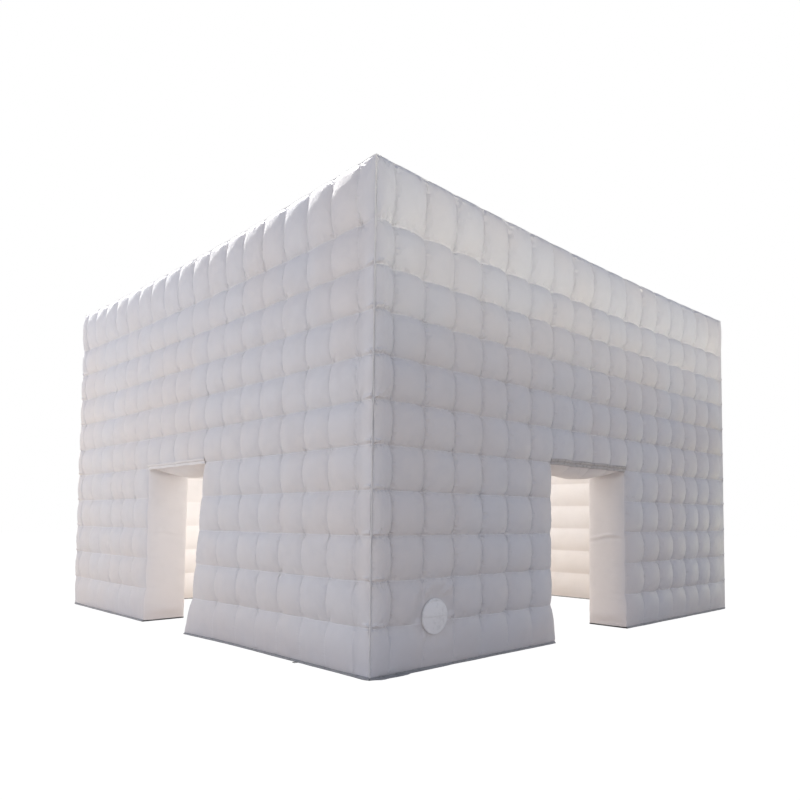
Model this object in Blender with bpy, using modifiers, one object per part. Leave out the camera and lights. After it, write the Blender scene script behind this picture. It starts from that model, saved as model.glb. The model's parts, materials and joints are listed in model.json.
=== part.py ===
"""Inflatable cube tent with quilted double walls and two open doorways.

The origin is the centre of the footprint, on the ground. X runs along the front wall and
+Z is up. The front wall faces -Y. Every wall is laid out in the front wall's frame and is
then turned about Z to its own side: right 90, back 180 and left 270 degrees.
"""

import math
from collections import namedtuple

import bmesh
import bpy
from mathutils import Matrix, Vector

# Plan and quilting. The plan is measured between the seam planes of opposite outer walls.
PLAN_WIDTH = 8.0
COLUMN_COUNT = 18
BASE_ROW_HEIGHT = 0.475
ROW_HEIGHT = 0.438
ROW_COUNT = 9
ROOF_DEPTH = 0.65
WALL_DEPTH = 0.60

# Cloth. The back of an outer skin follows its face in level channels of the back swell.
SKIN_THICKNESS = 0.006
CROWN_SWELL = 0.065
BACK_SWELL = 0.030
COLUMN_SEAM_SWELL = 0.040
ROW_SEAM_SWELL = 0.025
ROOF_SWELL = 0.040
CHANNEL_SWELL = 0.045
HALF_CELL_SHARE = 0.75
TOUCH_GAP = 0.0003
MERGE_DISTANCE = 0.00003
CUT_OVERRUN = 0.100

# Doorways, placed by the whole columns before them and sized in columns and rows
DOOR_START_COUNT = 6
DOOR_COLUMN_COUNT = 4
DOOR_ROW_COUNT = 4
HEM_HEIGHT = 0.055
JAMB_SWELL = 0.035
LINTEL_SAG = 0.070
JAMB_PROFILE_SHARES = (0.0, 0.75, 1.0, 0.75, 0.0)
LINTEL_STEPS = 8

# The slack foot of the left doorway, which creeps into the opening near the ground
FLARE_REACH = 0.34
FLARE_HEIGHT = 1.4
FLARE_RUN = 0.9
FLARE_POWER = 1.4

# Ground strips, webs between the skins and seam piping
BASE_THICKNESS = 0.020
WEB_THICKNESS = 0.003
PIPING_DIAMETER = 0.012
PIPING_FACETS = 2
EAVE_CORNER_STEPS = 3

# Inflation port, low on the front wall
PORT_FROM_CORNER = 0.81
PORT_HEIGHT = 0.53
PORT_SEAT = 0.045
PORT_SLACK = 0.030
PORT_SLACK_REACH = 0.30
COLLAR_RADIUS = 0.182
COLLAR_THICKNESS = 0.006
COLLAR_TUBE_RADIUS = 0.150
COLLAR_WALL = 0.008
COLLAR_TUBE_INSIDE = 0.040
COVER_RADIUS = 0.178
COVER_THICKNESS = 0.008
COVER_HINGE_RISE = 0.160
SLEEVE_WALL = 0.006
SLEEVE_LENGTH = 0.220
FLAP_THICKNESS = 0.004
FLAP_HINGE_RISE = 0.118
ROUND_STEPS = 32
WEB_CLEARANCE = 0.060

# Deflation zips, low on the back and right walls, placed by the whole columns before them
ZIP_START_COUNT = 2
ZIP_LENGTH = 0.36
ZIP_TAPE_HEIGHT = 0.045
ZIP_TAPE_THICKNESS = 0.004
SLIDER_WIDTH = 0.018
SLIDER_HEIGHT = 0.024
SLIDER_THICKNESS = 0.010
PULL_LENGTH = 0.050
PULL_THICKNESS = 0.003
PULL_RISE = 0.008

# Anchor loops of webbing at the foot of the left, back and right walls
LOOP_FROM_CORNER = 1.18
LOOP_WIDTH = 0.050
LOOP_REACH = 0.055
LOOP_THICKNESS = 0.004
SLOT_WIDTH = 0.030
SLOT_REACH = 0.022
SLOT_MARGIN = 0.012

# Places that follow from the sizes above
HALF_PLAN = PLAN_WIDTH / 2
COLUMN_PITCH = PLAN_WIDTH / COLUMN_COUNT
COLUMN_SEAMS = [(i + 0.5) * COLUMN_PITCH - HALF_PLAN for i in range(COLUMN_COUNT)]
ROW_SEAMS = [BASE_ROW_HEIGHT + k * ROW_HEIGHT for k in range(ROW_COUNT + 1)]
CEILING_HEIGHT = ROW_SEAMS[-1]
EAVE_HEIGHT = CEILING_HEIGHT + ROOF_DEPTH
OUTER_BACK = HALF_PLAN - SKIN_THICKNESS
INNER_FACE = HALF_PLAN - WALL_DEPTH
INNER_BACK = INNER_FACE + SKIN_THICKNESS
DOOR_LEFT = COLUMN_SEAMS[DOOR_START_COUNT]
DOOR_RIGHT = COLUMN_SEAMS[DOOR_START_COUNT + DOOR_COLUMN_COUNT]
DOOR_HEAD = ROW_SEAMS[DOOR_ROW_COUNT]
HALF_GAP = TOUCH_GAP / 2
PIPING_RADIUS = PIPING_DIAMETER / 2
EAVE_CORNER_RADIUS = PIPING_RADIUS + TOUCH_GAP
CLOTH_FOOT = BASE_THICKNESS + TOUCH_GAP
CLOTH_END = HALF_PLAN - PIPING_DIAMETER - TOUCH_GAP
CLOTH_TOP = EAVE_HEIGHT - PIPING_DIAMETER - TOUCH_GAP
BASE_ROW_MIDDLE = (CLOTH_FOOT + BASE_ROW_HEIGHT) / 2
PORT_X = PORT_FROM_CORNER - HALF_PLAN
ZIP_MIDDLE = (COLUMN_SEAMS[ZIP_START_COUNT] + COLUMN_SEAMS[ZIP_START_COUNT + 1]) / 2

# Which way a sheet faces, in the front wall's frame
FACE_OUT = Matrix.Identity(4)
FACE_ROOM = Matrix.Rotation(math.pi, 4, "Z")
FACE_RIGHT = Matrix.Rotation(math.pi / 2, 4, "Z")
FACE_LEFT = Matrix.Rotation(-math.pi / 2, 4, "Z")
FACE_UP = Matrix.Rotation(-math.pi / 2, 4, "X")
FACE_DOWN = Matrix.Rotation(math.pi / 2, 4, "X")
FRONT_TURN = 0.0
RIGHT_TURN = math.pi / 2
BACK_TURN = math.pi
LEFT_TURN = -math.pi / 2

# Colour, roughness and metallic value of each finish
FINISHES = {
    "outer_cloth": ((0.80, 0.80, 0.82), 0.55, 0.0),
    "inner_cloth": ((0.84, 0.81, 0.79), 0.60, 0.0),
    "jamb_cloth": ((0.78, 0.75, 0.74), 0.58, 0.0),
    "base_cloth": ((0.22, 0.22, 0.23), 0.70, 0.0),
    "web_cloth": ((0.86, 0.86, 0.86), 0.75, 0.0),
    "piping_cord": ((0.62, 0.62, 0.64), 0.60, 0.0),
    "hem_tape": ((0.40, 0.39, 0.39), 0.85, 0.0),
    "port_plastic": ((0.66, 0.66, 0.65), 0.45, 0.0),
    "sleeve_cloth": ((0.70, 0.70, 0.72), 0.70, 0.0),
    "zip_tape": ((0.30, 0.30, 0.31), 0.80, 0.0),
    "slider_metal": ((0.55, 0.55, 0.56), 0.35, 1.0),
    "webbing": ((0.16, 0.16, 0.17), 0.85, 0.0),
}

# A place along a sheet, whether a seam holds it, and the share of the swell that it takes
Station = namedtuple("Station", "at on_seam share", defaults=(1.0,))


def clear_scene():
    """Remove whatever the scene holds."""
    for item in list(bpy.data.objects):
        bpy.data.objects.remove(item, do_unlink=True)


def make_collection(name):
    """A collection linked to the scene."""
    collection = bpy.data.collections.new(name)
    bpy.context.scene.collection.children.link(collection)
    return collection


def make_finish(name):
    """A plain surface of one named finish."""
    colour, roughness, metallic = FINISHES[name]
    material = bpy.data.materials.new(name)
    material.use_nodes = True
    shader = material.node_tree.nodes["Principled BSDF"]
    shader.inputs["Base Color"].default_value = (*colour, 1.0)
    shader.inputs["Roughness"].default_value = roughness
    shader.inputs["Metallic"].default_value = metallic
    material.diffuse_color = (*colour, 1.0)
    return material


clear_scene()
TENT = make_collection("inflatable_tent")
CUTTERS = make_collection("cutters")


def add_object(name, data, finish, place):
    """Put mesh or curve data into the tent under a node name, with its own material."""
    item = bpy.data.objects.new(name, data)
    data.materials.append(make_finish(finish))
    item.matrix_world = place
    TENT.objects.link(item)
    return item


def add_bmesh(name, bm, finish, place):
    """Close off a bmesh and add it as an object."""
    bmesh.ops.recalc_face_normals(bm, faces=bm.faces)
    mesh = bpy.data.meshes.new(name)
    bm.to_mesh(mesh)
    bm.free()
    return add_object(name, mesh, finish, place)


def turned(angle):
    """The matrix that turns the front wall's frame to another side."""
    return Matrix.Rotation(angle, 4, "Z")


def stations(start, end, seams):
    """The ends, the seams between them and the middles of the cells that they bound."""
    marks = [start] + [seam for seam in seams if start < seam < end] + [end]
    places = [Station(marks[0], True)]
    for low, high in zip(marks, marks[1:]):
        places.append(Station((low + high) / 2, False))
        places.append(Station(high, True))
    return places


def marks_only(start, end, seams):
    """The ends and the seams between them, with nothing in the cells."""
    marks = [start] + [seam for seam in seams if start < seam < end] + [end]
    return [Station(mark, True) for mark in marks]


def faded(start, end, run):
    """Two ends held on a seam, with a free stretch between them."""
    return [
        Station(start, True),
        Station(start + run, False),
        Station(end - run, False),
        Station(end, True),
    ]


def with_rim(places):
    """The same places with a flat rim at both ends, which lies over the tops of the walls."""
    return [Station(-INNER_BACK, True)] + places + [Station(INNER_BACK, True)]


def lay_grid(bm, us, vs, reach):
    """A grid of faces over the stations, each point standing reach(u, v) out from the plan's middle."""
    columns = len(us) - 1
    rows = len(vs) - 1
    verts = bmesh.ops.create_grid(bm, x_segments=columns, y_segments=rows, size=1.0)["verts"]
    for vert in verts:
        u = us[round((vert.co.x + 1) * columns / 2)]
        v = vs[round((vert.co.y + 1) * rows / 2)]
        vert.co = (u.at, -reach(u, v), v.at)


def poke_cells(bm, depth):
    """Swell each flat cell of a grid to a shallow point."""
    bmesh.ops.recalc_face_normals(bm, faces=bm.faces)
    for middle in bmesh.ops.poke(bm, faces=bm.faces)["verts"]:
        middle.co.y -= depth


def thicken(bm):
    """Give a sheet its thickness, with the face's own shape on its back."""
    made = bmesh.ops.extrude_face_region(bm, geom=bm.faces[:], use_keep_orig=True)["geom"]
    back_verts = [item for item in made if isinstance(item, bmesh.types.BMVert)]
    bmesh.ops.translate(bm, vec=(0.0, SKIN_THICKNESS, 0.0), verts=back_verts)


def close_sides(bm, us, vs):
    """Join the rims of a face and its plainer back with one flat strip on each side."""
    rim = [vert for vert in bm.verts if vert.is_boundary]
    for x in (us[0].at, us[-1].at):
        for z in (vs[0].at, vs[-1].at):
            corner = [
                vert for vert in rim
                if abs(vert.co.x - x) < TOUCH_GAP and abs(vert.co.z - z) < TOUCH_GAP
            ]
            bm.edges.new(corner)
    for axis, at in ((0, us[0].at), (0, us[-1].at), (2, vs[0].at), (2, vs[-1].at)):
        side = [
            edge for edge in bm.edges
            if not edge.is_manifold and all(abs(vert.co[axis] - at) < TOUCH_GAP for vert in edge.verts)
        ]
        bmesh.ops.contextual_create(bm, geom=side)


def sheet(name, finish, facing, face_at, us, vs, swell, turn=FRONT_TURN, warp=None, poke=0.0):
    """A sheet of cloth whose face swells by swell(u, v) and whose back follows it."""
    bm = bmesh.new()
    lay_grid(bm, us, vs, lambda u, v: face_at + swell(u, v))
    if poke:
        poke_cells(bm, poke)
        lay_grid(bm, us[::len(us) - 1], vs[::len(vs) - 1], lambda u, v: face_at - SKIN_THICKNESS)
        close_sides(bm, us, vs)
    else:
        thicken(bm)
    bmesh.ops.transform(bm, matrix=facing, verts=bm.verts)
    if warp:
        for vert in bm.verts:
            vert.co = warp(vert.co)
    return add_bmesh(name, bm, finish, turned(turn))


def quilted_sheet(name, us, vs, swell, turn):
    """An outer wall's quilted sheet, with a back of level channels that stays behind the face."""
    bm = bmesh.new()
    lay_grid(bm, us, vs, lambda u, v: HALF_PLAN + swell(u, v))
    back_us = marks_only(us[0].at, us[-1].at, (COLUMN_SEAMS[0], COLUMN_SEAMS[-1]))
    lay_grid(bm, back_us, vs, lambda u, v: OUTER_BACK + back_swell(u, v))
    close_sides(bm, us, vs)
    return add_bmesh(name, bm, "outer_cloth", turned(turn))


def block(name, finish, low, high, turn=FRONT_TURN, warp=None):
    """A box between two corners of the front wall's frame."""
    low, high = Vector(low), Vector(high)
    bm = bmesh.new()
    bmesh.ops.create_cube(bm, size=1.0)
    bmesh.ops.scale(bm, vec=high - low, verts=bm.verts)
    bmesh.ops.translate(bm, vec=(low + high) / 2, verts=bm.verts)
    if warp:
        for vert in bm.verts:
            vert.co = warp(vert.co)
    return add_bmesh(name, bm, finish, turned(turn))


def plate(name, finish, outlines, half_depth, place):
    """A flat outline, with holes if there is more than one loop, drawn out to both sides."""
    curve = bpy.data.curves.new(name, "CURVE")
    curve.dimensions = "2D"
    curve.fill_mode = "BOTH"
    curve.extrude = half_depth
    for outline in outlines:
        spline = curve.splines.new("POLY")
        spline.points.add(len(outline) - 1)
        for point, (x, y) in zip(spline.points, outline):
            point.co = (x, y, 0.0, 1.0)
        spline.use_cyclic_u = True
    return add_object(name, curve, finish, place)


def piping(name, route, closed):
    """A round cord sewn into a seam."""
    curve = bpy.data.curves.new(name, "CURVE")
    curve.dimensions = "3D"
    curve.bevel_depth = PIPING_RADIUS
    curve.bevel_resolution = PIPING_FACETS
    curve.use_fill_caps = not closed
    spline = curve.splines.new("POLY")
    spline.points.add(len(route) - 1)
    for point, place in zip(spline.points, route):
        point.co = (*place, 1.0)
    spline.use_cyclic_u = closed
    return add_object(name, curve, "piping_cord", Matrix.Identity(4))


def turned_ring(name, finish, profile, place):
    """A ring whose closed profile of (radius, outward) points is turned about its axis."""
    mesh = bpy.data.meshes.new(name)
    count = len(profile)
    edges = [(i, (i + 1) % count) for i in range(count)]
    mesh.from_pydata([(radius, 0.0, out) for radius, out in profile], edges, [])
    item = add_object(name, mesh, finish, place)
    screw = item.modifiers.new("turn", "SCREW")
    screw.axis = "Z"
    screw.angle = math.tau
    screw.steps = ROUND_STEPS
    screw.render_steps = ROUND_STEPS
    screw.use_merge_vertices = True
    screw.merge_threshold = MERGE_DISTANCE
    return item


def flap_disc(name, finish, radius, thickness, hinge_rise, place):
    """A disc cut straight along its hinge line, with its origin on the hinge axis."""
    bm = bmesh.new()
    bmesh.ops.create_cone(
        bm, cap_ends=True, segments=ROUND_STEPS, radius1=radius, radius2=radius, depth=thickness
    )
    bmesh.ops.translate(bm, vec=(0.0, -hinge_rise, 0.0), verts=bm.verts)
    cut = bmesh.ops.bisect_plane(
        bm, geom=bm.verts[:] + bm.edges[:] + bm.faces[:], plane_co=(0.0, 0.0, 0.0),
        plane_no=(0.0, 1.0, 0.0), clear_outer=True
    )["geom_cut"]
    cut_edges = [item for item in cut if isinstance(item, bmesh.types.BMEdge)]
    bmesh.ops.edgeloop_fill(bm, edges=cut_edges)
    return add_bmesh(name, bm, finish, place)


def quilt_swell(slack):
    """How far a quilted outer wall stands out of its seam plane at a grid point."""
    def swell(u, v):
        if abs(u.at) > COLUMN_SEAMS[-1] and u.on_seam:
            return 0.0
        if v.on_seam and not BASE_ROW_HEIGHT <= v.at <= CEILING_HEIGHT:
            return 0.0
        if u.on_seam and v.on_seam:
            return 0.0
        if u.on_seam:
            return COLUMN_SEAM_SWELL
        share = HALF_CELL_SHARE if abs(u.at) > COLUMN_SEAMS[-1] else 1.0
        depth = (ROW_SEAM_SWELL if v.on_seam else CROWN_SWELL) * share
        for zone in slack:
            if abs(u.at - zone.u) < zone.reach_u and abs(v.at - zone.v) < zone.reach_v:
                depth = min(depth, zone.depth)
        return depth
    return swell


def back_swell(u, v):
    """How far the back of an outer skin follows its face."""
    return 0.0 if v.on_seam or abs(u.at) > COLUMN_SEAMS[-1] else BACK_SWELL


def channel_swell(u, v):
    """How far an inner sheet swells into the room between its row seams."""
    return 0.0 if u.on_seam or v.on_seam else CHANNEL_SWELL


Slack = namedtuple("Slack", "u v reach_u reach_v depth")
PORT_ZONE = Slack(PORT_X, PORT_HEIGHT, PORT_SLACK_REACH, PORT_SLACK_REACH, PORT_SLACK)
ZIP_ZONE = Slack(
    ZIP_MIDDLE, BASE_ROW_MIDDLE, (ZIP_LENGTH + COLUMN_PITCH) / 2, BASE_ROW_HEIGHT / 2,
    COLUMN_SEAM_SWELL
)


def flare(point):
    """Shift the slack foot of a doorway's right side into the opening."""
    lift = max(0.0, 1.0 - point.z / FLARE_HEIGHT) ** FLARE_POWER
    run = max(0.0, 1.0 - abs(point.x - DOOR_RIGHT) / FLARE_RUN) ** 2
    outward = (-point.y - INNER_FACE) / WALL_DEPTH
    shift = FLARE_REACH * lift * run * max(0.0, min(1.0, outward))
    return Vector((point.x - shift, point.y, point.z))


def outer_skin(name, start, end, foot, turn, slack=(), warp=None):
    """A quilted panel of the outer wall."""
    us = stations(start, end, COLUMN_SEAMS)
    vs = stations(foot, CLOTH_TOP, ROW_SEAMS)
    if warp:
        return sheet(name, "outer_cloth", FACE_OUT, HALF_PLAN, us, vs, quilt_swell(slack), turn, warp)
    return quilted_sheet(name, us, vs, quilt_swell(slack), turn)


def inner_skin(name, start, end, foot, turn):
    """A panel of the room's wall, swollen into level channels."""
    us = faded(-end, -start, COLUMN_PITCH / 2)
    vs = stations(foot, CEILING_HEIGHT - TOUCH_GAP, ROW_SEAMS)
    return sheet(name, "inner_cloth", FACE_ROOM, -INNER_FACE, us, vs, channel_swell, turn)


def ribbed_outline(levels, reaches, spine):
    """The outline of level webs joined by one upright web, as a designer's comb."""
    half = WEB_THICKNESS / 2
    right_side = []
    left_side = []
    for level, (start, end) in zip(levels, reaches):
        low, high = level - half, level + half
        right_side += [(spine + half, low), (end, low), (end, high), (spine + half, high)]
        left_side += [(spine - half, low), (start, low), (start, high), (spine - half, high)]
    return right_side[1:-1] + left_side[-2:0:-1]


def wall_webs(name, start, end, first_level, turn, low_start=None):
    """The webs that tie the two skins of a wall together, row by row."""
    levels = ROW_SEAMS[first_level:]
    reaches = [(start, end) for _ in levels]
    if low_start is not None:
        reaches[0] = (low_start, end)
    outline = ribbed_outline(levels, reaches, (reaches[0][0] + end) / 2)
    half_depth = (OUTER_BACK - INNER_BACK) / 2 - TOUCH_GAP
    middle = Vector((0.0, -(OUTER_BACK + INNER_BACK) / 2, 0.0))
    place = turned(turn) @ Matrix.Translation(middle) @ Matrix.Rotation(math.pi / 2, 4, "X")
    return plate(name, "web_cloth", [outline], half_depth, place)


def base_strip(name, start, end, turn, warp=None):
    """The dark strip that closes a wall against the ground."""
    low = (start, -HALF_PLAN, 0.0)
    high = (end, -INNER_FACE, BASE_THICKNESS)
    return block(name, "base_cloth", low, high, turn, warp)


def plain_wall(side, turn):
    """A wall without a doorway, outside and inside."""
    outer_skin(f"{side}_outer_skin", -CLOTH_END, CLOTH_END, CLOTH_FOOT, turn, [ZIP_ZONE])
    inner_skin(f"{side}_inner_skin", HALF_GAP - INNER_FACE, INNER_FACE - HALF_GAP, CLOTH_FOOT, turn)
    wall_webs(f"{side}_webs", -INNER_FACE, INNER_FACE, 0, turn)


def door_wall(side, left_part, right_part, turn, slack, warp, port_clear):
    """A wall with a doorway: two sides and a header, each with its own skins and webs."""
    left_end = DOOR_LEFT - HALF_GAP
    right_start = DOOR_RIGHT + HALF_GAP
    left_name = f"{side}_{left_part}"
    right_name = f"{side}_{right_part}"
    header_name = f"{side}_header"
    inner_limit = INNER_FACE - HALF_GAP
    outer_skin(f"{left_name}_outer_skin", -CLOTH_END, left_end, CLOTH_FOOT, turn, slack)
    outer_skin(f"{right_name}_outer_skin", right_start, CLOTH_END, CLOTH_FOOT, turn, (), warp)
    header_start = DOOR_LEFT + HALF_GAP
    header_end = DOOR_RIGHT - HALF_GAP
    header_foot = DOOR_HEAD + HEM_HEIGHT + HALF_GAP
    outer_skin(f"{header_name}_outer_skin", header_start, header_end, header_foot, turn)
    inner_skin(f"{left_name}_inner_skin", -inner_limit, left_end, CLOTH_FOOT, turn)
    inner_skin(f"{right_name}_inner_skin", right_start, inner_limit, CLOTH_FOOT, turn)
    inner_skin(f"{header_name}_inner_skin", header_start, header_end, DOOR_HEAD, turn)
    web_edge = SKIN_THICKNESS + TOUCH_GAP
    wall_webs(f"{left_name}_webs", -INNER_FACE, DOOR_LEFT - web_edge, 0, turn, port_clear)
    wall_webs(f"{right_name}_webs", DOOR_RIGHT + web_edge, INNER_FACE, 0, turn)
    wall_webs(f"{header_name}_webs", DOOR_LEFT, DOOR_RIGHT, DOOR_ROW_COUNT + 1, turn)
    doorway(side, left_part, right_part, turn, warp)


def doorway(side, left_part, right_part, turn, warp):
    """The jambs, lintel and hem that line a doorway."""
    near, far = INNER_BACK + TOUCH_GAP, OUTER_BACK - TOUCH_GAP
    heights = stations(CLOTH_FOOT, DOOR_HEAD - TOUCH_GAP, ROW_SEAMS)
    steps = len(JAMB_PROFILE_SHARES) - 1

    def across(low, high):
        return [
            Station(low + (high - low) * i / steps, False, share)
            for i, share in enumerate(JAMB_PROFILE_SHARES)
        ]

    def jamb_swell(u, v):
        at_end = v.at in (heights[0].at, heights[-1].at)
        return 0.0 if at_end else JAMB_SWELL * u.share

    sheet(
        f"{side}_{left_part}_jamb", "jamb_cloth", FACE_RIGHT, DOOR_LEFT, across(-far, -near), heights,
        jamb_swell, turn
    )
    sheet(
        f"{side}_{right_part}_jamb", "jamb_cloth", FACE_LEFT, -DOOR_RIGHT, across(near, far), heights,
        jamb_swell, turn, warp
    )
    width = DOOR_RIGHT - DOOR_LEFT
    along = [Station(DOOR_LEFT + width * i / LINTEL_STEPS, False) for i in range(LINTEL_STEPS + 1)]

    def lintel_swell(u, v):
        reach = (2 * u.at - DOOR_LEFT - DOOR_RIGHT) / width
        return LINTEL_SAG * max(0.0, 1.0 - reach ** 2) * v.share

    sheet(
        f"{side}_lintel", "jamb_cloth", FACE_DOWN, -DOOR_HEAD, along, across(near, far), lintel_swell, turn
    )
    low = (DOOR_LEFT + HALF_GAP, -HALF_PLAN, DOOR_HEAD)
    high = (DOOR_RIGHT - HALF_GAP, SKIN_THICKNESS - HALF_PLAN, DOOR_HEAD + HEM_HEIGHT - HALF_GAP)
    block(f"{side}_door_hem", "hem_tape", low, high, turn)


def roof_and_ceiling():
    """The quilted roof, the ceiling under it and the webs between them."""
    across = marks_only(-CLOTH_END, CLOTH_END, COLUMN_SEAMS)
    sheet(
        "roof_outer_skin", "outer_cloth", FACE_UP, EAVE_HEIGHT, across, across, lambda u, v: 0.0,
        poke=ROOF_SWELL
    )
    wide = [seam for seam in COLUMN_SEAMS if abs(seam) < INNER_FACE - COLUMN_PITCH / 2]
    us = with_rim(faded(-INNER_FACE, INNER_FACE, COLUMN_PITCH / 2))
    vs = with_rim(stations(-INNER_FACE, INNER_FACE, wide))
    sheet("ceiling_skin", "inner_cloth", FACE_DOWN, -CEILING_HEIGHT, us, vs, channel_swell)
    low = CEILING_HEIGHT + SKIN_THICKNESS + TOUCH_GAP
    high = EAVE_HEIGHT - SKIN_THICKNESS - TOUCH_GAP
    outline = ribbed_outline(COLUMN_SEAMS, [(-INNER_FACE, INNER_FACE)] * COLUMN_COUNT, 0.0)
    place = Matrix.Translation((0.0, 0.0, (low + high) / 2))
    plate("roof_webs", "web_cloth", [outline], (high - low) / 2, place)


def ground_strips():
    """Six strips that close the walls against the ground, each stopping at its neighbour."""
    inner_end = INNER_FACE - TOUCH_GAP
    base_strip("front_left_base", -HALF_PLAN, DOOR_LEFT, FRONT_TURN)
    base_strip("front_right_base", DOOR_RIGHT, inner_end, FRONT_TURN)
    base_strip("right_base", -HALF_PLAN, inner_end, RIGHT_TURN)
    base_strip("back_base", -HALF_PLAN, inner_end, BACK_TURN)
    base_strip("left_rear_base", -HALF_PLAN, DOOR_LEFT, LEFT_TURN)
    base_strip("left_front_base", DOOR_RIGHT, inner_end, LEFT_TURN, flare)


def rounded_square(half, radius, height):
    """The points of a square loop with round corners."""
    centre = half - radius
    points = []
    for corner in range(4):
        for step in range(EAVE_CORNER_STEPS + 1):
            angle = (corner + step / EAVE_CORNER_STEPS) * math.pi / 2
            sign_x = 1 if corner in (0, 3) else -1
            sign_y = 1 if corner in (0, 1) else -1
            x = sign_x * centre + radius * math.cos(angle)
            y = sign_y * centre + radius * math.sin(angle)
            points.append((x, y, height))
    return points


def seam_piping():
    """Cords in the four upright corners and round the eaves."""
    line = HALF_PLAN - PIPING_RADIUS
    corners = {
        "front_left": (-1, -1), "front_right": (1, -1), "back_right": (1, 1), "back_left": (-1, 1)
    }
    for corner, (sign_x, sign_y) in corners.items():
        x, y = sign_x * line, sign_y * line
        piping(f"{corner}_corner_piping", [(x, y, CLOTH_FOOT), (x, y, CLOTH_TOP)], False)
    piping("eave_piping", rounded_square(line, EAVE_CORNER_RADIUS, EAVE_HEIGHT - PIPING_RADIUS), True)


def port_frame(outward):
    """A place on the port's axis, with local Z pointing out of the front wall."""
    middle = Vector((PORT_X, -(HALF_PLAN + outward), PORT_HEIGHT))
    return Matrix.Translation(middle) @ Matrix.Rotation(math.pi / 2, 4, "X")


def inflation_port():
    """The collar in the front wall, its cover, and the sleeve and check flap behind it."""
    face = PORT_SEAT + COLLAR_THICKNESS
    bore = COLLAR_TUBE_RADIUS - COLLAR_WALL
    tube_end = -COLLAR_TUBE_INSIDE
    collar = [
        (COLLAR_RADIUS, face), (COLLAR_RADIUS, PORT_SEAT), (COLLAR_TUBE_RADIUS, PORT_SEAT),
        (COLLAR_TUBE_RADIUS, tube_end), (bore, tube_end), (bore, face)
    ]
    turned_ring("port_collar", "port_plastic", collar, port_frame(0.0))

    sleeve_radius = bore - TOUCH_GAP
    sleeve_bore = sleeve_radius - SLEEVE_WALL
    sleeve = [
        (sleeve_radius, 0.0), (sleeve_radius, -SLEEVE_LENGTH), (sleeve_bore, -SLEEVE_LENGTH),
        (sleeve_bore, 0.0)
    ]
    turned_ring("inflation_sleeve", "sleeve_cloth", sleeve, port_frame(0.0))

    lift = Matrix.Translation((0.0, COVER_HINGE_RISE, 0.0))
    cover_middle = face + TOUCH_GAP + COVER_THICKNESS / 2
    flap_disc("port_cover", "port_plastic", COVER_RADIUS, COVER_THICKNESS, COVER_HINGE_RISE,
              port_frame(cover_middle) @ lift)

    lift = Matrix.Translation((0.0, FLAP_HINGE_RISE, 0.0))
    flap_middle = -(SLEEVE_LENGTH + TOUCH_GAP + FLAP_THICKNESS / 2)
    flap_disc("check_flap", "sleeve_cloth", sleeve_radius, FLAP_THICKNESS, FLAP_HINGE_RISE,
              port_frame(flap_middle) @ lift)

    cut_port_hole()


def cut_port_hole():
    """Cut the hole for the collar's tube through the front wall's skin."""
    bm = bmesh.new()
    radius = COLLAR_TUBE_RADIUS + TOUCH_GAP
    depth = 2 * (CROWN_SWELL + CUT_OVERRUN)
    bmesh.ops.create_cone(
        bm, cap_ends=True, segments=ROUND_STEPS, radius1=radius, radius2=radius, depth=depth
    )
    mesh = bpy.data.meshes.new("port_hole")
    bm.to_mesh(mesh)
    bm.free()
    cutter = bpy.data.objects.new("port_hole", mesh)
    cutter.matrix_world = port_frame(0.0)
    cutter.hide_render = True
    cutter.display_type = "WIRE"
    CUTTERS.objects.link(cutter)
    cut = bpy.data.objects["front_left_outer_skin"].modifiers.new("port_hole", "BOOLEAN")
    cut.operation = "DIFFERENCE"
    cut.solver = "EXACT"
    cut.object = cutter


def deflation_zip(side, turn):
    """A zip tape low on a wall and the slider that runs along it, parked at one end."""
    tape_back = COLUMN_SEAM_SWELL + TOUCH_GAP
    tape_face = tape_back + ZIP_TAPE_THICKNESS
    half_tape = ZIP_TAPE_HEIGHT / 2
    low = (ZIP_MIDDLE - ZIP_LENGTH / 2, -(HALF_PLAN + tape_face), BASE_ROW_MIDDLE - half_tape)
    high = (ZIP_MIDDLE + ZIP_LENGTH / 2, -(HALF_PLAN + tape_back), BASE_ROW_MIDDLE + half_tape)
    block(f"{side}_zip_tape", "zip_tape", low, high, turn)

    half = SLIDER_HEIGHT / 2
    out = SLIDER_THICKNESS + PULL_THICKNESS
    outline = [
        (-half, 0.0), (half, 0.0), (half, SLIDER_THICKNESS), (PULL_RISE, SLIDER_THICKNESS),
        (PULL_RISE, out), (-PULL_LENGTH, out), (-PULL_LENGTH, SLIDER_THICKNESS),
        (-half, SLIDER_THICKNESS)
    ]
    start = ZIP_MIDDLE - ZIP_LENGTH / 2 + SLIDER_WIDTH
    parked = Vector((start, -(HALF_PLAN + tape_face + TOUCH_GAP), BASE_ROW_MIDDLE))
    axes = Matrix(((0, 0, 1, 0), (0, -1, 0, 0), (1, 0, 0, 0), (0, 0, 0, 1)))
    place = turned(turn) @ Matrix.Translation(parked) @ axes
    plate(f"{side}_zip_slider", "slider_metal", [outline], SLIDER_WIDTH / 2, place)


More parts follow.
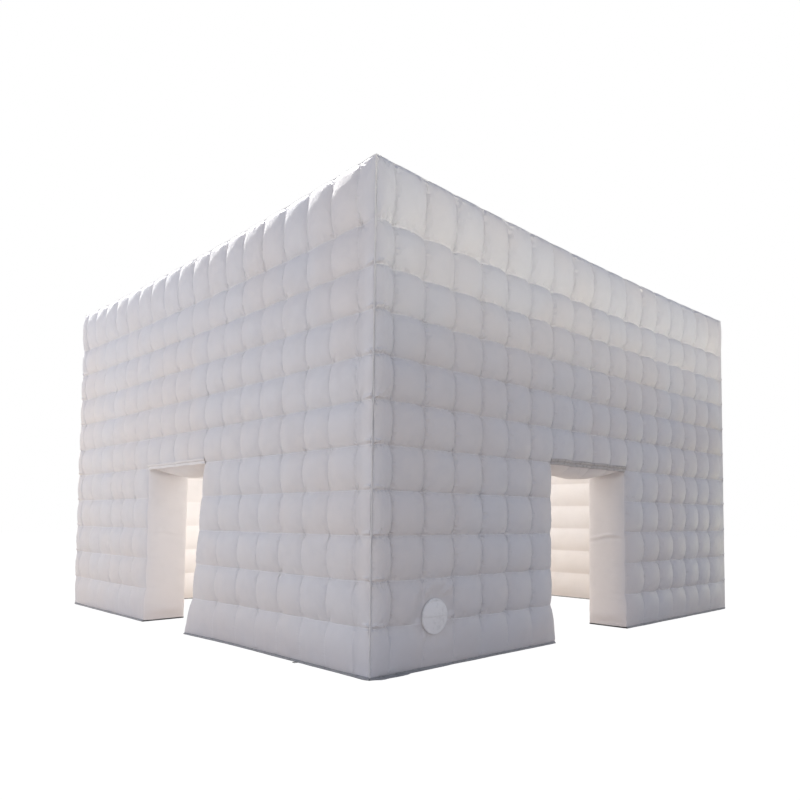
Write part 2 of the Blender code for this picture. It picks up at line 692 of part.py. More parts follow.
def anchor_loop(side, turn):
    """A webbing loop with a slot for a peg, hinged on its sewn upper edge."""
    half = LOOP_WIDTH / 2
    half_slot = SLOT_WIDTH / 2
    slot_near = LOOP_REACH - SLOT_MARGIN - SLOT_REACH
    slot_far = LOOP_REACH - SLOT_MARGIN
    outer = [(-half, 0.0), (half, 0.0), (half, -LOOP_REACH), (-half, -LOOP_REACH)]
    slot = [
        (-half_slot, -slot_near), (half_slot, -slot_near), (half_slot, -slot_far),
        (-half_slot, -slot_far)
    ]
    hinge = bpy.data.objects.new(f"{side}_anchor_hinge", None)
    axis_point = Vector((HALF_PLAN - LOOP_FROM_CORNER, -(HALF_PLAN + TOUCH_GAP), LOOP_THICKNESS))
    hinge.matrix_world = turned(turn) @ Matrix.Translation(axis_point)
    TENT.objects.link(hinge)
    sunk = Matrix.Translation((0.0, 0.0, -LOOP_THICKNESS / 2))
    loop = plate(f"{side}_anchor_loop", "webbing", [outer, slot], LOOP_THICKNESS / 2, sunk)
    loop.parent = hinge


def build_tent():
    """Every piece of the tent."""
    port_clear = PORT_X + COLLAR_TUBE_RADIUS + WEB_CLEARANCE
    door_wall("front", "left", "right", FRONT_TURN, [PORT_ZONE], None, port_clear)
    door_wall("left", "rear", "front", LEFT_TURN, (), flare, None)
    plain_wall("back", BACK_TURN)
    plain_wall("right", RIGHT_TURN)
    roof_and_ceiling()
    ground_strips()
    seam_piping()
    inflation_port()
    for side, turn in (("back", BACK_TURN), ("right", RIGHT_TURN)):
        deflation_zip(side, turn)
    for side, turn in (("left", LEFT_TURN), ("back", BACK_TURN), ("right", RIGHT_TURN)):
        anchor_loop(side, turn)


build_tent()
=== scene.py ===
"""Dresses the inflatable cube tent: quilted cloth, room, doorways, webs, fittings and stage.

Every wall is worked out in the front wall's frame, where x runs along the wall, -Y is outwards
and +Z is up, and is then turned about Z to its own side.
"""

import json
import math
from collections import namedtuple

import bmesh
import bpy
import numpy as np
from bpy.props import FloatProperty, FloatVectorProperty, IntProperty, PointerProperty
from mathutils import Matrix, Vector

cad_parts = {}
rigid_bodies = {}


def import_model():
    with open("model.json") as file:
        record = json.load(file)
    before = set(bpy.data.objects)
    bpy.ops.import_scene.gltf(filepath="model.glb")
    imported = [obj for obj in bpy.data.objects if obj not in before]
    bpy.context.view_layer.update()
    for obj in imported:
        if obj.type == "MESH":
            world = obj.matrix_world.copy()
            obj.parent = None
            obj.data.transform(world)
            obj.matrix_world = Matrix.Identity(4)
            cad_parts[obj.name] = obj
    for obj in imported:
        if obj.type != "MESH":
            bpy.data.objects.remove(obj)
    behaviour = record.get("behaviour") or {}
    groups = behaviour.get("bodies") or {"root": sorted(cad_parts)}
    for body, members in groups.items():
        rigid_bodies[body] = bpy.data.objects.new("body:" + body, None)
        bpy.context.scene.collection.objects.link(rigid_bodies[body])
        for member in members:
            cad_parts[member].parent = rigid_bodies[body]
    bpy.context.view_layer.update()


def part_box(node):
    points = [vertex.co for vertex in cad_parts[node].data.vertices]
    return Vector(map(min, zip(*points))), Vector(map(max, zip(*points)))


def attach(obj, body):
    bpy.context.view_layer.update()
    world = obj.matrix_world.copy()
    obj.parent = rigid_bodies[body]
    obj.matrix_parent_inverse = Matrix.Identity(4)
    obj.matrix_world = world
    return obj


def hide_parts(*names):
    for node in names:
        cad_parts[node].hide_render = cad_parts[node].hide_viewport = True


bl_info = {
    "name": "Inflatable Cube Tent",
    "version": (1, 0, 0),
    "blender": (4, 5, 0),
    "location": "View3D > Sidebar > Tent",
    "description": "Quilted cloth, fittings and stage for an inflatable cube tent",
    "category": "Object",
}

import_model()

# Plan, rows and openings, from the frame
BASE_LOW, BASE_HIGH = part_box("front_left_base")
HALF_PLAN = -BASE_LOW.x
INNER_FACE = -BASE_HIGH.y
DOOR_LEFT = BASE_HIGH.x
DOOR_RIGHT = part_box("front_right_base")[0].x
CLOTH_FOOT = BASE_HIGH.z
DOOR_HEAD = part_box("front_door_hem")[0].z
HEM_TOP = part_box("front_door_hem")[1].z
EAVE_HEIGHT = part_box("eave_piping")[1].z
PIPING_LOW, PIPING_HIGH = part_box("front_left_corner_piping")
PIPING_RADIUS = (PIPING_HIGH.x - PIPING_LOW.x) / 2
COLUMN_COUNT = 18
ROW_COUNT = 9
DOOR_ROW_COUNT = 4
ROW_HEIGHT = 0.438
PITCH = 2 * HALF_PLAN / COLUMN_COUNT
BASE_ROW = DOOR_HEAD - DOOR_ROW_COUNT * ROW_HEIGHT
CLOTH_END = HALF_PLAN - 2 * PIPING_RADIUS
CLOTH_TOP = EAVE_HEIGHT - 2 * PIPING_RADIUS
COLUMN_SEAMS = [(i + 0.5) * PITCH - HALF_PLAN for i in range(COLUMN_COUNT)]
ROW_SEAMS = [BASE_ROW + i * ROW_HEIGHT for i in range(ROW_COUNT + 1)]
COLUMN_MARKS = np.array([-CLOTH_END] + COLUMN_SEAMS + [CLOTH_END])
ROW_MARKS = np.array([CLOTH_FOOT] + ROW_SEAMS + [CLOTH_TOP])
CEILING_HEIGHT = ROW_SEAMS[-1]
TURNS = {"front": 0.0, "right": math.pi / 2, "back": math.pi, "left": -math.pi / 2}
SIDE_ORDER = list(TURNS)

# How the cloth pulls between its seams
ARC_POWER = 2.2
EDGE_CROWDING = 0.6
PATCH_COLUMNS, PATCH_ROWS = 6, 4
TOP_ROW_GAIN = 1.45
CORNER_DOME = 0.014
PILLOW_EASE = 0.05
CELL_RELIEF = {"front": 1.0, "left": 0.52, "back": 0.85, "right": 0.85}
SEAM_RELIEF = {"front": 1.15, "left": 0.45, "back": 0.85, "right": 0.85}
SEAM_INSET, SEAM_INSET_RUN = 0.020, 0.15
ANCHOR_SIDES, ANCHOR_LEAN = ("left", "back", "right"), 0.25
END_COLUMN_SHARE = 0.25
DOOR_SIDES = ("front", "left")
DOOR_START, DOOR_COLUMN_COUNT = 6, 4
DOOR_EDGE_SHARE = 0.25
DOOR_FOOT_SHARE = 0.6
SHOULDER_SWELL, SHOULDER_FALL = 0.070, 0.090
SEAM_CREASE = math.radians(16)
EAVE_DIP, EAVE_DIP_WIDTH, EAVE_DIP_REACH = 0.006, 0.07, 0.35
PUCKER_REACH, PUCKER_SPREAD = 0.048, 0.30
PUCKER_GAP, PUCKER_VALLEY_GAP = 0.62, 1.5 * PUCKER_SPREAD
PUCKER_POWER, PUCKER_BEARINGS = 1.5, (0.25, 0.75)
PUCKER_CORNER_SHARES = (1.0, 0.5, 0.8, 0.5)
GAIN_SPREAD, SWELL_SPREAD = 0.12, 0.09
TOP_SWELL_GAIN, BASE_ROW_GAIN, BASE_PUCKER_SHARE = 1.15, 0.4, 0.3
WANDER_WAVES, WANDER_STRETCHES = 5, (0.6, 1.6)
WANDER_LENGTH, CREEP_DEPTH, CREEP_LENGTH, CREEP_SEED = 1.3, 0.004, 0.5, 50
GATHER_COUNT, GATHER_REACH = 1.6, 0.095
# How far the painted highlight along each seam reaches
SEAM_HIGHLIGHT_REACH = 0.016

# Two places nearer than this count as one, and this much keeps a division from zero
SNAP, TINY = 1e-6, 1e-9

# The cloth that blows up the patch of cells
PATCH_CLOTH = {
    "quality": 6, "mass": 0.3, "tension_stiffness": 15.0, "compression_stiffness": 15.0,
    "shear_stiffness": 5.0, "tension_damping": 5.0, "compression_damping": 5.0, "shear_damping": 5.0,
    "air_damping": 2.0, "vertex_group_mass": "seams", "use_pressure": True,
}
PATCH_JITTER = 0.002

# Level tucks beside the upright corners, and upright folds at the foot
TUCK_REACH, TUCK_START, TUCK_LEAN, TUCK_TURN = 0.10, 0.015, 0.10, 2.1
TUCK_DEPTH, TUCK_RISE, TUCK_WIDTH, TUCK_GAP = 0.020, 0.018, 0.014, 0.034
FOLD_DEPTH, FOLD_START, FOLD_LENGTH, FOLD_SEED = 0.006, 0.04, 0.16, 70
FOLD_TOP_SHARE, FOLD_STRETCH_SHARE = 0.8, 0.12

# The slack foot of the left doorway
FLARE_REACH = 0.355
FLARE_OUT = 0.06
FLARE_HEIGHT = 2.6
FLARE_RUN = 0.9
FLARE_FOOT_SHARE = 0.21
FLARE_FOOT_POWER = 1.5

# The foot of the front doorway's nearer side, which kicks out into the opening
KICK_REACH, KICK_RUN = 0.065, 0.5

# The port, from the frame
COLLAR_LOW, COLLAR_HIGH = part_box("port_collar")
PORT_X = (COLLAR_LOW.x + COLLAR_HIGH.x) / 2
PORT_Z = (COLLAR_LOW.z + COLLAR_HIGH.z) / 2
COLLAR_RADIUS = (COLLAR_HIGH.x - COLLAR_LOW.x) / 2
PORT_SLACK = 0.034
PORT_CREASE = 0.017
PORT_CREASE_WIDTH, PORT_VALLEY_GAP, PORT_VALLEY_WIDTH, PORT_VALLEY_SHARE = 0.034, 0.065, 0.036, 0.7
PORT_CREASE_START, PORT_CREASE_END, PORT_CREASE_LEAN = 0.05, 0.07, 0.5
PORT_FOLDS = ((0.006, 9, 0.6), (0.004, 17, 0.0))
PORT_FOLD_SHARES = (0.95, 1.3)
PORT_FOOT_FOLD, PORT_FOOT_WIDTH, PORT_FOOT_REACH = 0.012, 0.03, (0.15, 0.25)
PORT_HOLE, PORT_HOLE_DRAWN, PORT_HOLE_CUT = 0.152, 0.012, 0.004
PORT_REACH_NEAR, PORT_REACH_FAR = 0.19, 0.40

# Where the cloth lies in behind an anchor loop
HOLLOW_BESIDE, HOLLOW_ABOVE, HOLLOW_GAP = (0.02, 0.12), (0.08, 0.18), 0.002

Cells = namedtuple("Cells", "variant mirror gain strength bearing column_swell row_swell")
Cloth = namedtuple("Cloth", "points coords")


def quilt_sizes():
    """The quilting sizes set in the sidebar."""
    return bpy.context.scene.tent_quilt


def finish_colours():
    """The colours set in the sidebar."""
    return bpy.context.scene.tent_colours


def arc(t):
    """The rise of a seam between two pinched ends, from 0 to 1 and back."""
    return 1.0 - np.abs(2.0 * t - 1.0) ** ARC_POWER


def smooth(value, low, high):
    """A smooth step from 0 at low to 1 at high."""
    t = np.clip((value - low) / (high - low), 0.0, 1.0)
    return t * t * (3.0 - 2.0 * t)


def cell_shares(steps):
    """Places through a cell, closer together near its seams."""
    even = np.arange(steps + 1) / steps
    return (1 - EDGE_CROWDING) * even + EDGE_CROWDING * (0.5 - 0.5 * np.cos(np.pi * even))


def places(marks, low, high, steps):
    """Grid places from low to high, with the same shares in each cell between the marks."""
    shares = cell_shares(steps)[:-1]
    inside = [m for m in marks if low < m < high]
    ends = [low] + inside + [high]
    runs = [start + (end - start) * shares for start, end in zip(ends, ends[1:])]
    return np.concatenate(runs + [[high]])


def cells_along(marks, at):
    """The cell that each place lies in and its share of the way through it."""
    cell = np.clip(np.searchsorted(marks, at + SNAP, side="right") - 1, 0, len(marks) - 2)
    return cell, np.clip((at - marks[cell]) / (marks[cell + 1] - marks[cell]), 0.0, 1.0)


def base_pillow(s, t, column_swell, row_swell):
    """The rise that a cell's four seams give it, before the air fills it out."""
    return column_swell * arc(t) + row_swell * arc(s)


def patch_places(count, steps):
    """Grid places over a run of whole cells, counted in cells."""
    return np.concatenate([i + cell_shares(steps)[:-1] for i in range(count)] + [[count]])


def pin_and_fill(patch, on_seam):
    """Give the patch a cloth that is pinned at its seams and filled with air."""
    sizes = quilt_sizes()
    seams = patch.vertex_groups.new(name="seams")
    seams.add([int(i) for i in np.nonzero(on_seam.reshape(-1))[0]], 1.0, "REPLACE")
    cloth = patch.modifiers.new("Cloth", "CLOTH")
    cloth.collision_settings.use_collision = False
    for field, value in PATCH_CLOTH.items():
        setattr(cloth.settings, field, value)
    cloth.settings.bending_stiffness = sizes.bending
    cloth.settings.shrink_min = -sizes.fullness
    cloth.settings.uniform_pressure_force = sizes.pressure
    cloth.settings.effector_weights.gravity = 0.0
    cloth.point_cache.frame_start = 1
    cloth.point_cache.frame_end = sizes.frames


def simulate_patch(steps):
    """Blow up a small quilted patch, and return how far its points moved and which are sewn."""
    sizes = quilt_sizes()
    us, vs = patch_places(PATCH_COLUMNS, steps), patch_places(PATCH_ROWS, steps)
    s, t = np.meshgrid(us % 1.0, vs % 1.0, indexing="ij")
    on_seam = np.isclose(s, 0.0) | np.isclose(t, 0.0)
    pillow = base_pillow(s, t, sizes.column_swell, sizes.row_swell)
    jitter = np.random.default_rng(sizes.seed).normal(0.0, PATCH_JITTER, pillow.shape)
    u, v = np.meshgrid(us * PITCH, vs * ROW_HEIGHT, indexing="ij")
    start = np.stack([u, -(pillow + np.where(on_seam, 0.0, jitter)), v], -1)
    patch = grid_object("patch", start, None, False)
    pin_and_fill(patch, on_seam)
    scene = bpy.context.scene
    for number in range(1, sizes.frames + 1):
        scene.frame_set(number)
    settled = patch.evaluated_get(bpy.context.evaluated_depsgraph_get()).to_mesh()
    points = np.empty(len(settled.vertices) * 3, np.float32)
    settled.vertices.foreach_get("co", points)
    scene.frame_set(1)
    bpy.data.objects.remove(patch)
    flat = np.stack([u, -pillow, v], -1)
    return points.reshape(flat.shape).astype(float) - flat, on_seam


CELL_CACHE = {}


def cell_library(steps):
    """The creep along, the lift outwards and the creep upwards of each cell of the patch."""
    if steps not in CELL_CACHE:
        moved, on_seam = simulate_patch(steps)
        moved[on_seam] = 0.0
        CELL_CACHE[steps] = np.array([
            moved[i * steps:(i + 1) * steps + 1, j * steps:(j + 1) * steps + 1]
            for i in range(PATCH_COLUMNS) for j in range(PATCH_ROWS)
        ])
    return CELL_CACHE[steps]


def pick(library, which, mirrored, s, t):
    """Read the library's cells at shares s and t, turned end for end where mirrored."""
    steps = library.shape[1] - 1
    share = cell_shares(steps)
    s = np.where(mirrored, 1.0 - s, s)
    a = np.clip(np.interp(s, share, np.arange(steps + 1)), 0, steps - TINY)
    b = np.clip(np.interp(t, share, np.arange(steps + 1)), 0, steps - TINY)
    i, j = a.astype(int), b.astype(int)
    fa, fb = (a - i)[..., None], (b - j)[..., None]
    low = library[which, i, j] * (1 - fa) + library[which, i + 1, j] * fa
    high = library[which, i, j + 1] * (1 - fa) + library[which, i + 1, j + 1] * fa
    read = low * (1 - fb) + high * fb
    read[..., 0] = np.where(mirrored, -read[..., 0], read[..., 0])
    return read


def wander(u, v, seed, length):
    """A slow, seeded unevenness between -1 and 1."""
    rng = np.random.default_rng(seed)
    total = 0.0
    for _ in range(WANDER_WAVES):
        angle, phase = rng.uniform(0, math.tau, 2)
        stretch = math.tau / (length * rng.uniform(*WANDER_STRETCHES))
        total = total + np.sin(stretch * (u * math.cos(angle) + v * math.sin(angle)) + phase)
    return total / WANDER_WAVES


def ridge(off, width):
    """A rounded ridge across a line, 1 on the line itself."""
    return np.exp(-(off / width) ** 2)


def puckers(s, t, wide, tall, strength, bearing):
    """Two short folds that run out of each corner of a cell, as far as its strength says."""
    total = 0.0
    for k, (x, z) in enumerate(((s, t), (1 - s, t), (s, 1 - t), (1 - s, 1 - t))):
        across, up = x * wide, z * tall
        far = np.hypot(across, up) / PUCKER_REACH
        turn = np.arctan2(up, across + TINY)
        fall = far * np.exp(1.0 - far) * np.sin(2 * turn)
        for fold in range(2):
            off = turn - (bearing[..., k] + PUCKER_GAP * fold)
            raised = ridge(off, PUCKER_SPREAD) - ridge(off - PUCKER_VALLEY_GAP, PUCKER_SPREAD)
            total = total + strength[..., k] * fall * raised
    return total


def draw_cells(side, seed, kinds):
    """Draw every cell's kind, fullness and puckers, and every seam's swell, for one wall."""
    sizes = quilt_sizes()
    rng = np.random.default_rng(seed)
    columns, rows = len(COLUMN_MARKS) - 1, len(ROW_MARKS) - 1
    variant = rng.integers(0, kinds, (columns, rows))
    mirror = rng.random((columns, rows)) < 0.5
    gain = CELL_RELIEF[side] * rng.normal(1.0, GAIN_SPREAD, (columns, rows))
    strength = rng.random((columns, rows, 4)) ** PUCKER_POWER * np.array(PUCKER_CORNER_SHARES)
    bearing = rng.uniform(*PUCKER_BEARINGS, (columns, rows, 4))
    column_swell = sizes.column_swell * rng.normal(1.0, SWELL_SPREAD, (columns + 1, rows))
    row_swell = SEAM_RELIEF[side] * sizes.row_swell * rng.normal(1.0, SWELL_SPREAD, (columns, rows + 1))
    gain[:, 0] *= BASE_ROW_GAIN
    gain[:, -1] *= TOP_ROW_GAIN
    gain[-1] *= END_COLUMN_SHARE
    column_swell[:, 0] = sizes.base_swell
    column_swell[:, -1] *= TOP_SWELL_GAIN
    column_swell[[0, -1], :] = 0.0
    row_swell[:, [0, -1]] = 0.0
    row_swell[-1] *= END_COLUMN_SHARE
    if side in DOOR_SIDES:
        for door_seam in (DOOR_START + 1, DOOR_START + DOOR_COLUMN_COUNT + 1):
            column_swell[door_seam, 1:DOOR_ROW_COUNT + 1] *= DOOR_EDGE_SHARE
            column_swell[door_seam, 0] *= DOOR_FOOT_SHARE
    return Cells(variant, mirror, gain, strength, bearing, column_swell, row_swell)


def between_seams(s, t, left, right, below, above):
    """The swell of a cell that its two upright and two level seams hold up."""
    return arc(t) * ((1 - s) * left + s * right) + arc(s) * ((1 - t) * below + t * above)


def shoulder(side, column, row, vs):
    """The extra swell that rounds the top row over into the eave."""
    rounding = 1.0 - np.exp((vs - CLOTH_TOP) / SHOULDER_FALL)
    top_row = (row == len(ROW_MARKS) - 2)[None, :]
    end_column = (column == len(COLUMN_MARKS) - 2)[:, None]
    full = top_row * SHOULDER_SWELL * CELL_RELIEF[side] * rounding
    return full * (1.0 - END_COLUMN_SHARE * end_column)


def local_folds(side, swell, u, v):
    """Add the folds and hollows that only some places of a wall have."""
    edge = np.minimum(CLOTH_END - np.abs(u), np.minimum(v - CLOTH_FOOT, CLOTH_TOP - v))
    swell = swell - SEAM_INSET * smooth(edge, 0.0, SEAM_INSET_RUN)
    swell = swell + corner_tucks(u, v)
    swell = swell + foot_folds(side, u, v)
    if side in ANCHOR_SIDES:
        swell = anchor_hollow(side, swell, u, v)
    if side == "front":
        swell = port_slack(swell, u, v)
    return swell


def quilt(side, us, vs):
    """The outer wall's surface over a grid of places, in the front wall's frame."""
    sizes = quilt_sizes()
    seed = sizes.seed + SIDE_ORDER.index(side)
    library = cell_library(sizes.cell_steps)
    cells = draw_cells(side, seed, len(library))
    column, s = cells_along(COLUMN_MARKS, us)
    row, t = cells_along(ROW_MARKS, vs)
    s, t = np.meshgrid(s, t, indexing="ij")
    cell = np.ix_(column, row)
    left, right = cells.column_swell[cell], cells.column_swell[np.ix_(column + 1, row)]
    below, above = cells.row_swell[cell], cells.row_swell[np.ix_(column, row + 1)]
    swell = between_seams(s, t, left, right, below, above + shoulder(side, column, row, vs))
    swell *= 1.0 - PILLOW_EASE * arc(s) * arc(t)
    wide = np.diff(COLUMN_MARKS)[column][:, None]
    tall = np.diff(ROW_MARKS)[row][None, :]
    read = pick(library, cells.variant[cell], cells.mirror[cell], s, t)
    first_column = (column == 0)[:, None]
    swell += -read[..., 1] * cells.gain[cell] + first_column * CORNER_DOME * arc(s) * arc(t)
    plain = np.where(row == 0, BASE_PUCKER_SHARE, 1.0)[None, :]
    swell -= sizes.pucker_depth * plain * puckers(s, t, wide, tall, cells.strength[cell], cells.bearing[cell])

    u, v = np.meshgrid(us, vs, indexing="ij")
    hold = arc((u + CLOTH_END) / (2 * CLOTH_END)) * arc((v - CLOTH_FOOT) / (CLOTH_TOP - CLOTH_FOOT))
    swell = local_folds(side, swell + sizes.wander_depth * hold * wander(u, v, seed, WANDER_LENGTH), u, v)
    creep = CREEP_DEPTH * hold * wander(u, v, seed + CREEP_SEED, CREEP_LENGTH)
    creep_u = read[..., 0] * wide / PITCH + creep
    creep_v = read[..., 2] * tall / ROW_HEIGHT
    points = np.stack([u + creep_u, -(HALF_PLAN + swell), v + creep_v], -1)
    coords = np.stack([column[:, None] + s, row[None, :] + t, 0 * s], -1)
    return Cloth(points, coords)


def corner_tucks(u, v):
    """Short level tucks at each row seam, beside the upright corners."""
    from_corner = CLOTH_END - np.abs(u)
    total = 0.0
    for number, seam in enumerate(ROW_SEAMS[:-1]):
        off = v - (seam + TUCK_LEAN * from_corner * math.sin(TUCK_TURN * number))
        total = total - TUCK_DEPTH * ridge(off, TUCK_WIDTH)
        total = total + TUCK_RISE * ridge(off - TUCK_GAP, TUCK_WIDTH)
    return total * ridge(from_corner, TUCK_REACH) * smooth(from_corner, 0.0, TUCK_START)


def foot_folds(side, u, v):
    """Upright creases that rise from the ground through the lowest row."""
    low = 1.0 - smooth(v, CLOTH_FOOT, BASE_ROW * FOLD_TOP_SHARE)
    held = smooth(v, CLOTH_FOOT, CLOTH_FOOT + FOLD_START)
    seed = FOLD_SEED + SIDE_ORDER.index(side)
    return FOLD_DEPTH * low * held * wander(u, v * FOLD_STRETCH_SHARE, seed, FOLD_LENGTH)


def anchor_hollow(side, swell, u, v):
    """Draw the cloth in behind an anchor loop, so that the loop can turn up."""
    low, high = local_box(side, f"{side}_anchor_loop")
    beside = np.abs(u - (low[0] + high[0]) / 2) - (high[0] - low[0]) / 2
    near = (1.0 - smooth(beside, *HOLLOW_BESIDE)) * (1.0 - smooth(v, *HOLLOW_ABOVE))
    return swell + near * (np.minimum(swell, ANCHOR_LEAN * (v - CLOTH_FOOT) - HOLLOW_GAP) - swell)


def port_slack(swell, u, v):
    """Lay the cloth slack round the port, with folds that run out from it."""
    across, up = u - PORT_X, v - PORT_Z
    far = np.hypot(across, up)
    turn = np.arctan2(up, across)
    away = smooth(far, PORT_REACH_NEAR, PORT_REACH_FAR)
    folds = sum(depth * np.cos(count * turn + start) for depth, count, start in PORT_FOLDS)
    fan = folds * smooth(far, *(COLLAR_RADIUS * share for share in PORT_FOLD_SHARES))
    below = PORT_FOOT_FOLD * ridge(across, PORT_FOOT_WIDTH) * smooth(-up, *PORT_FOOT_REACH)
    return swell * away + (1 - away) * (PORT_SLACK + fan + below) + port_creases(u, v)


def port_creases(u, v):
    """Two creases that run from the seam crossings above the port down to its rim."""
    total = 0.0
    left = max(seam for seam in COLUMN_SEAMS if seam < PORT_X)
    for seam, lean in ((left, -PORT_CREASE_LEAN), (left + PITCH, PORT_CREASE_LEAN)):
        start = np.array([seam, ROW_SEAMS[1]])
        run = np.array([PORT_X + lean * COLLAR_RADIUS, PORT_Z + COLLAR_RADIUS]) - start
        length = float(np.hypot(*run))
        along = ((u - start[0]) * run[0] + (v - start[1]) * run[1]) / length
        beside = ((u - start[0]) * run[1] - (v - start[1]) * run[0]) / length
        held = smooth(along, 0.0, PORT_CREASE_START)
        held = held * (1.0 - smooth(along, length - PORT_CREASE_END, length))
        valley = PORT_VALLEY_SHARE * ridge(beside - PORT_VALLEY_GAP, PORT_VALLEY_WIDTH)
        total = total + PORT_CREASE * held * (ridge(beside, PORT_CREASE_WIDTH) - valley)
    return total


def flare(side, points):
    """Shift the slack nearer side of each doorway into the opening, most of all at its foot."""
    x, y, z = points[..., 0], points[..., 1], points[..., 2]
    outward = np.clip((-y - INNER_FACE) / (HALF_PLAN - INNER_FACE), 0.0, 1.0)
    foot = np.clip(1.0 - z / BASE_ROW, 0.0, 1.0)
    if side == "front":
        run = np.clip(1.0 - np.abs(x - DOOR_LEFT) / KICK_RUN, 0.0, None) ** 2
        return np.stack([x + KICK_REACH * foot * run * outward, y, z], -1)
    rise = np.clip(1.0 - z / FLARE_HEIGHT, 0.0, None)
    lift = (1.0 - FLARE_FOOT_SHARE) * rise + FLARE_FOOT_SHARE * foot ** FLARE_FOOT_POWER
    run = np.clip(1.0 - np.abs(x - DOOR_RIGHT) / FLARE_RUN, 0.0, None) ** 2
    shift = lift * run * outward
    return np.stack([x - FLARE_REACH * shift, y - FLARE_OUT * shift, z], -1)


def eave_dips(along, across):
    """How far the eave is drawn down at each upright seam of one pair of walls."""
    off = np.abs(np.mod(along + HALF_PLAN, PITCH) - PITCH / 2)
    near = 1.0 - smooth(HALF_PLAN - np.abs(across), 0.0, EAVE_DIP_REACH)
    held = smooth(HALF_PLAN - np.abs(along), 0.0, PITCH / 4)
    return EAVE_DIP * ridge(off, EAVE_DIP_WIDTH) * near * held


def sagged(points):
    """Let the eaves sag between the corners and dip at the upright seams."""
    sizes = quilt_sizes()
    x, y, z = points[..., 0], points[..., 1], points[..., 2]
    middle = 1.0 - np.clip((x * y) ** 2 / HALF_PLAN ** 4, 0, 1)
    share = np.clip(z / EAVE_HEIGHT, 0.0, 1.1) ** 3
    dips = (eave_dips(x, y) + eave_dips(y, x)) * smooth(z, EAVE_HEIGHT - EAVE_DIP_REACH, EAVE_HEIGHT)
    return np.stack([x, y, z + share * (sizes.corner_lift - sizes.eave_sag * middle) - dips], -1)


def turned(side, points, back=False):
    """Turn points about Z from the front wall's frame to their side, or back again."""
    points = np.asarray(points, float)
    turn = -TURNS[side] if back else TURNS[side]
    x = points[..., 0] * math.cos(turn) - points[..., 1] * math.sin(turn)
    y = points[..., 0] * math.sin(turn) + points[..., 1] * math.cos(turn)
    return np.stack([x, y, points[..., 2]], -1)


def to_world(side, points):
    """Bring a wall's points to their side, with its flare and sag."""
    points = np.asarray(points, float)
    if side in DOOR_SIDES:
        points = flare(side, points)
    return sagged(turned(side, points))


def mesh_object(name, mesh):
    """Link a mesh to the scene under a name."""
    item = bpy.data.objects.new(name, mesh)
    bpy.context.scene.collection.objects.link(item)
    return item


def new_mesh(name, points, faces):
    """A mesh from lists of points and faces."""
    mesh = bpy.data.meshes.new(name)
    mesh.from_pydata(points, [], faces)
    return mesh


def grid_object(name, points, coords, flipped, drop=None):
    """A smooth sheet over a grid of points, with the quilting coordinates on its points."""
    nu, nv = points.shape[:2]
    index = np.arange(nu * nv).reshape(nu, nv)
    corners = [index[:-1, :-1], index[1:, :-1], index[1:, 1:], index[:-1, 1:]]
    faces = np.stack(corners, -1).reshape(-1, 4)
    if flipped:
        faces = faces[:, ::-1]
    if drop is not None:
        faces = faces[~drop.reshape(-1)]
    mesh = new_mesh(name, points.reshape(-1, 3).tolist(), faces.tolist())
    if coords is not None:
        layer = mesh.attributes.new("quilt", "FLOAT_VECTOR", "POINT")
        layer.data.foreach_set("vector", coords.reshape(-1).astype(np.float32))
    mesh.shade_smooth()
    if drop is not None:
        reworked(mesh, drop_loose)
    return mesh_object(name, mesh)


def reworked(mesh, work):
    """Run one step of mesh editing over a mesh."""
    bm = bmesh.new()
    bm.from_mesh(mesh)
    work(bm)
    bm.to_mesh(mesh)
    bm.free()


def drop_loose(bm):
    """Remove points that no face uses."""
    bmesh.ops.delete(bm, geom=[v for v in bm.verts if not v.link_faces], context="VERTS")


def thicken(item, thickness):
    """Give a sheet its cloth's thickness, half to each side."""
    cloth = item.modifiers.new("cloth", "SOLIDIFY")
    cloth.thickness = thickness
    cloth.offset = 0.0


def dress(item, body, slot, *nodes, finish=None):
    """Give a piece its finish, named by slot unless another is given, and its body, and hide the nodes that
    it stands for.
    """
    chosen = material(finish or slot)
    if chosen.name not in item.data.materials:
        item.data.materials.append(chosen)
    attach(item, body)
    if nodes:
        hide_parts(*nodes)
    return item


# What the finishes are made of: a darker foot, painted seam shadow and highlight, stitches, creases and
# gathers, in metres where a length
MIX_INPUTS, MIX_OUTPUT = (0, 6, 7), 2
GATHER_SPACING, GATHER_FOLD, GATHER_PATCH, GATHER_PATCHES = (7.3, 5.9, 0.0), (0.35, 0.65), 0.7, (0.40, 0.62)
GATHER_START, GATHER_FADE = 0.035, 0.030
LEVEL_CREASE, LEVEL_CREASE_REACH = (2.0, 26.0, 1.0), 0.07
UPRIGHT_CREASE, UPRIGHT_CREASE_REACH = (26.0, 2.0, 1.0), 0.06
STITCH_COUNT, STITCH_OFFSET, STITCH_WIDTH = 500.0, 0.009, 0.002
BLOTCH_STRENGTH, BLOTCH_SHARE = 0.22, 0.88
DARKER_FOOT_UNEVENNESS, DARKER_FOOT_HEIGHTS, DARKER_FOOT_SHARES = 0.25, (0.10, 0.55), (0.55, 0.52, 0.58)
# Reach and darkness of the painted shadow line along the seams, and how much lighter the painted highlight
# beside them is
SEAM_SHADOW_REACH, SEAM_SHADOW_SHARE, SEAM_HIGHLIGHT_SHARE = (0.0012, 0.0045), 0.12, 1.25


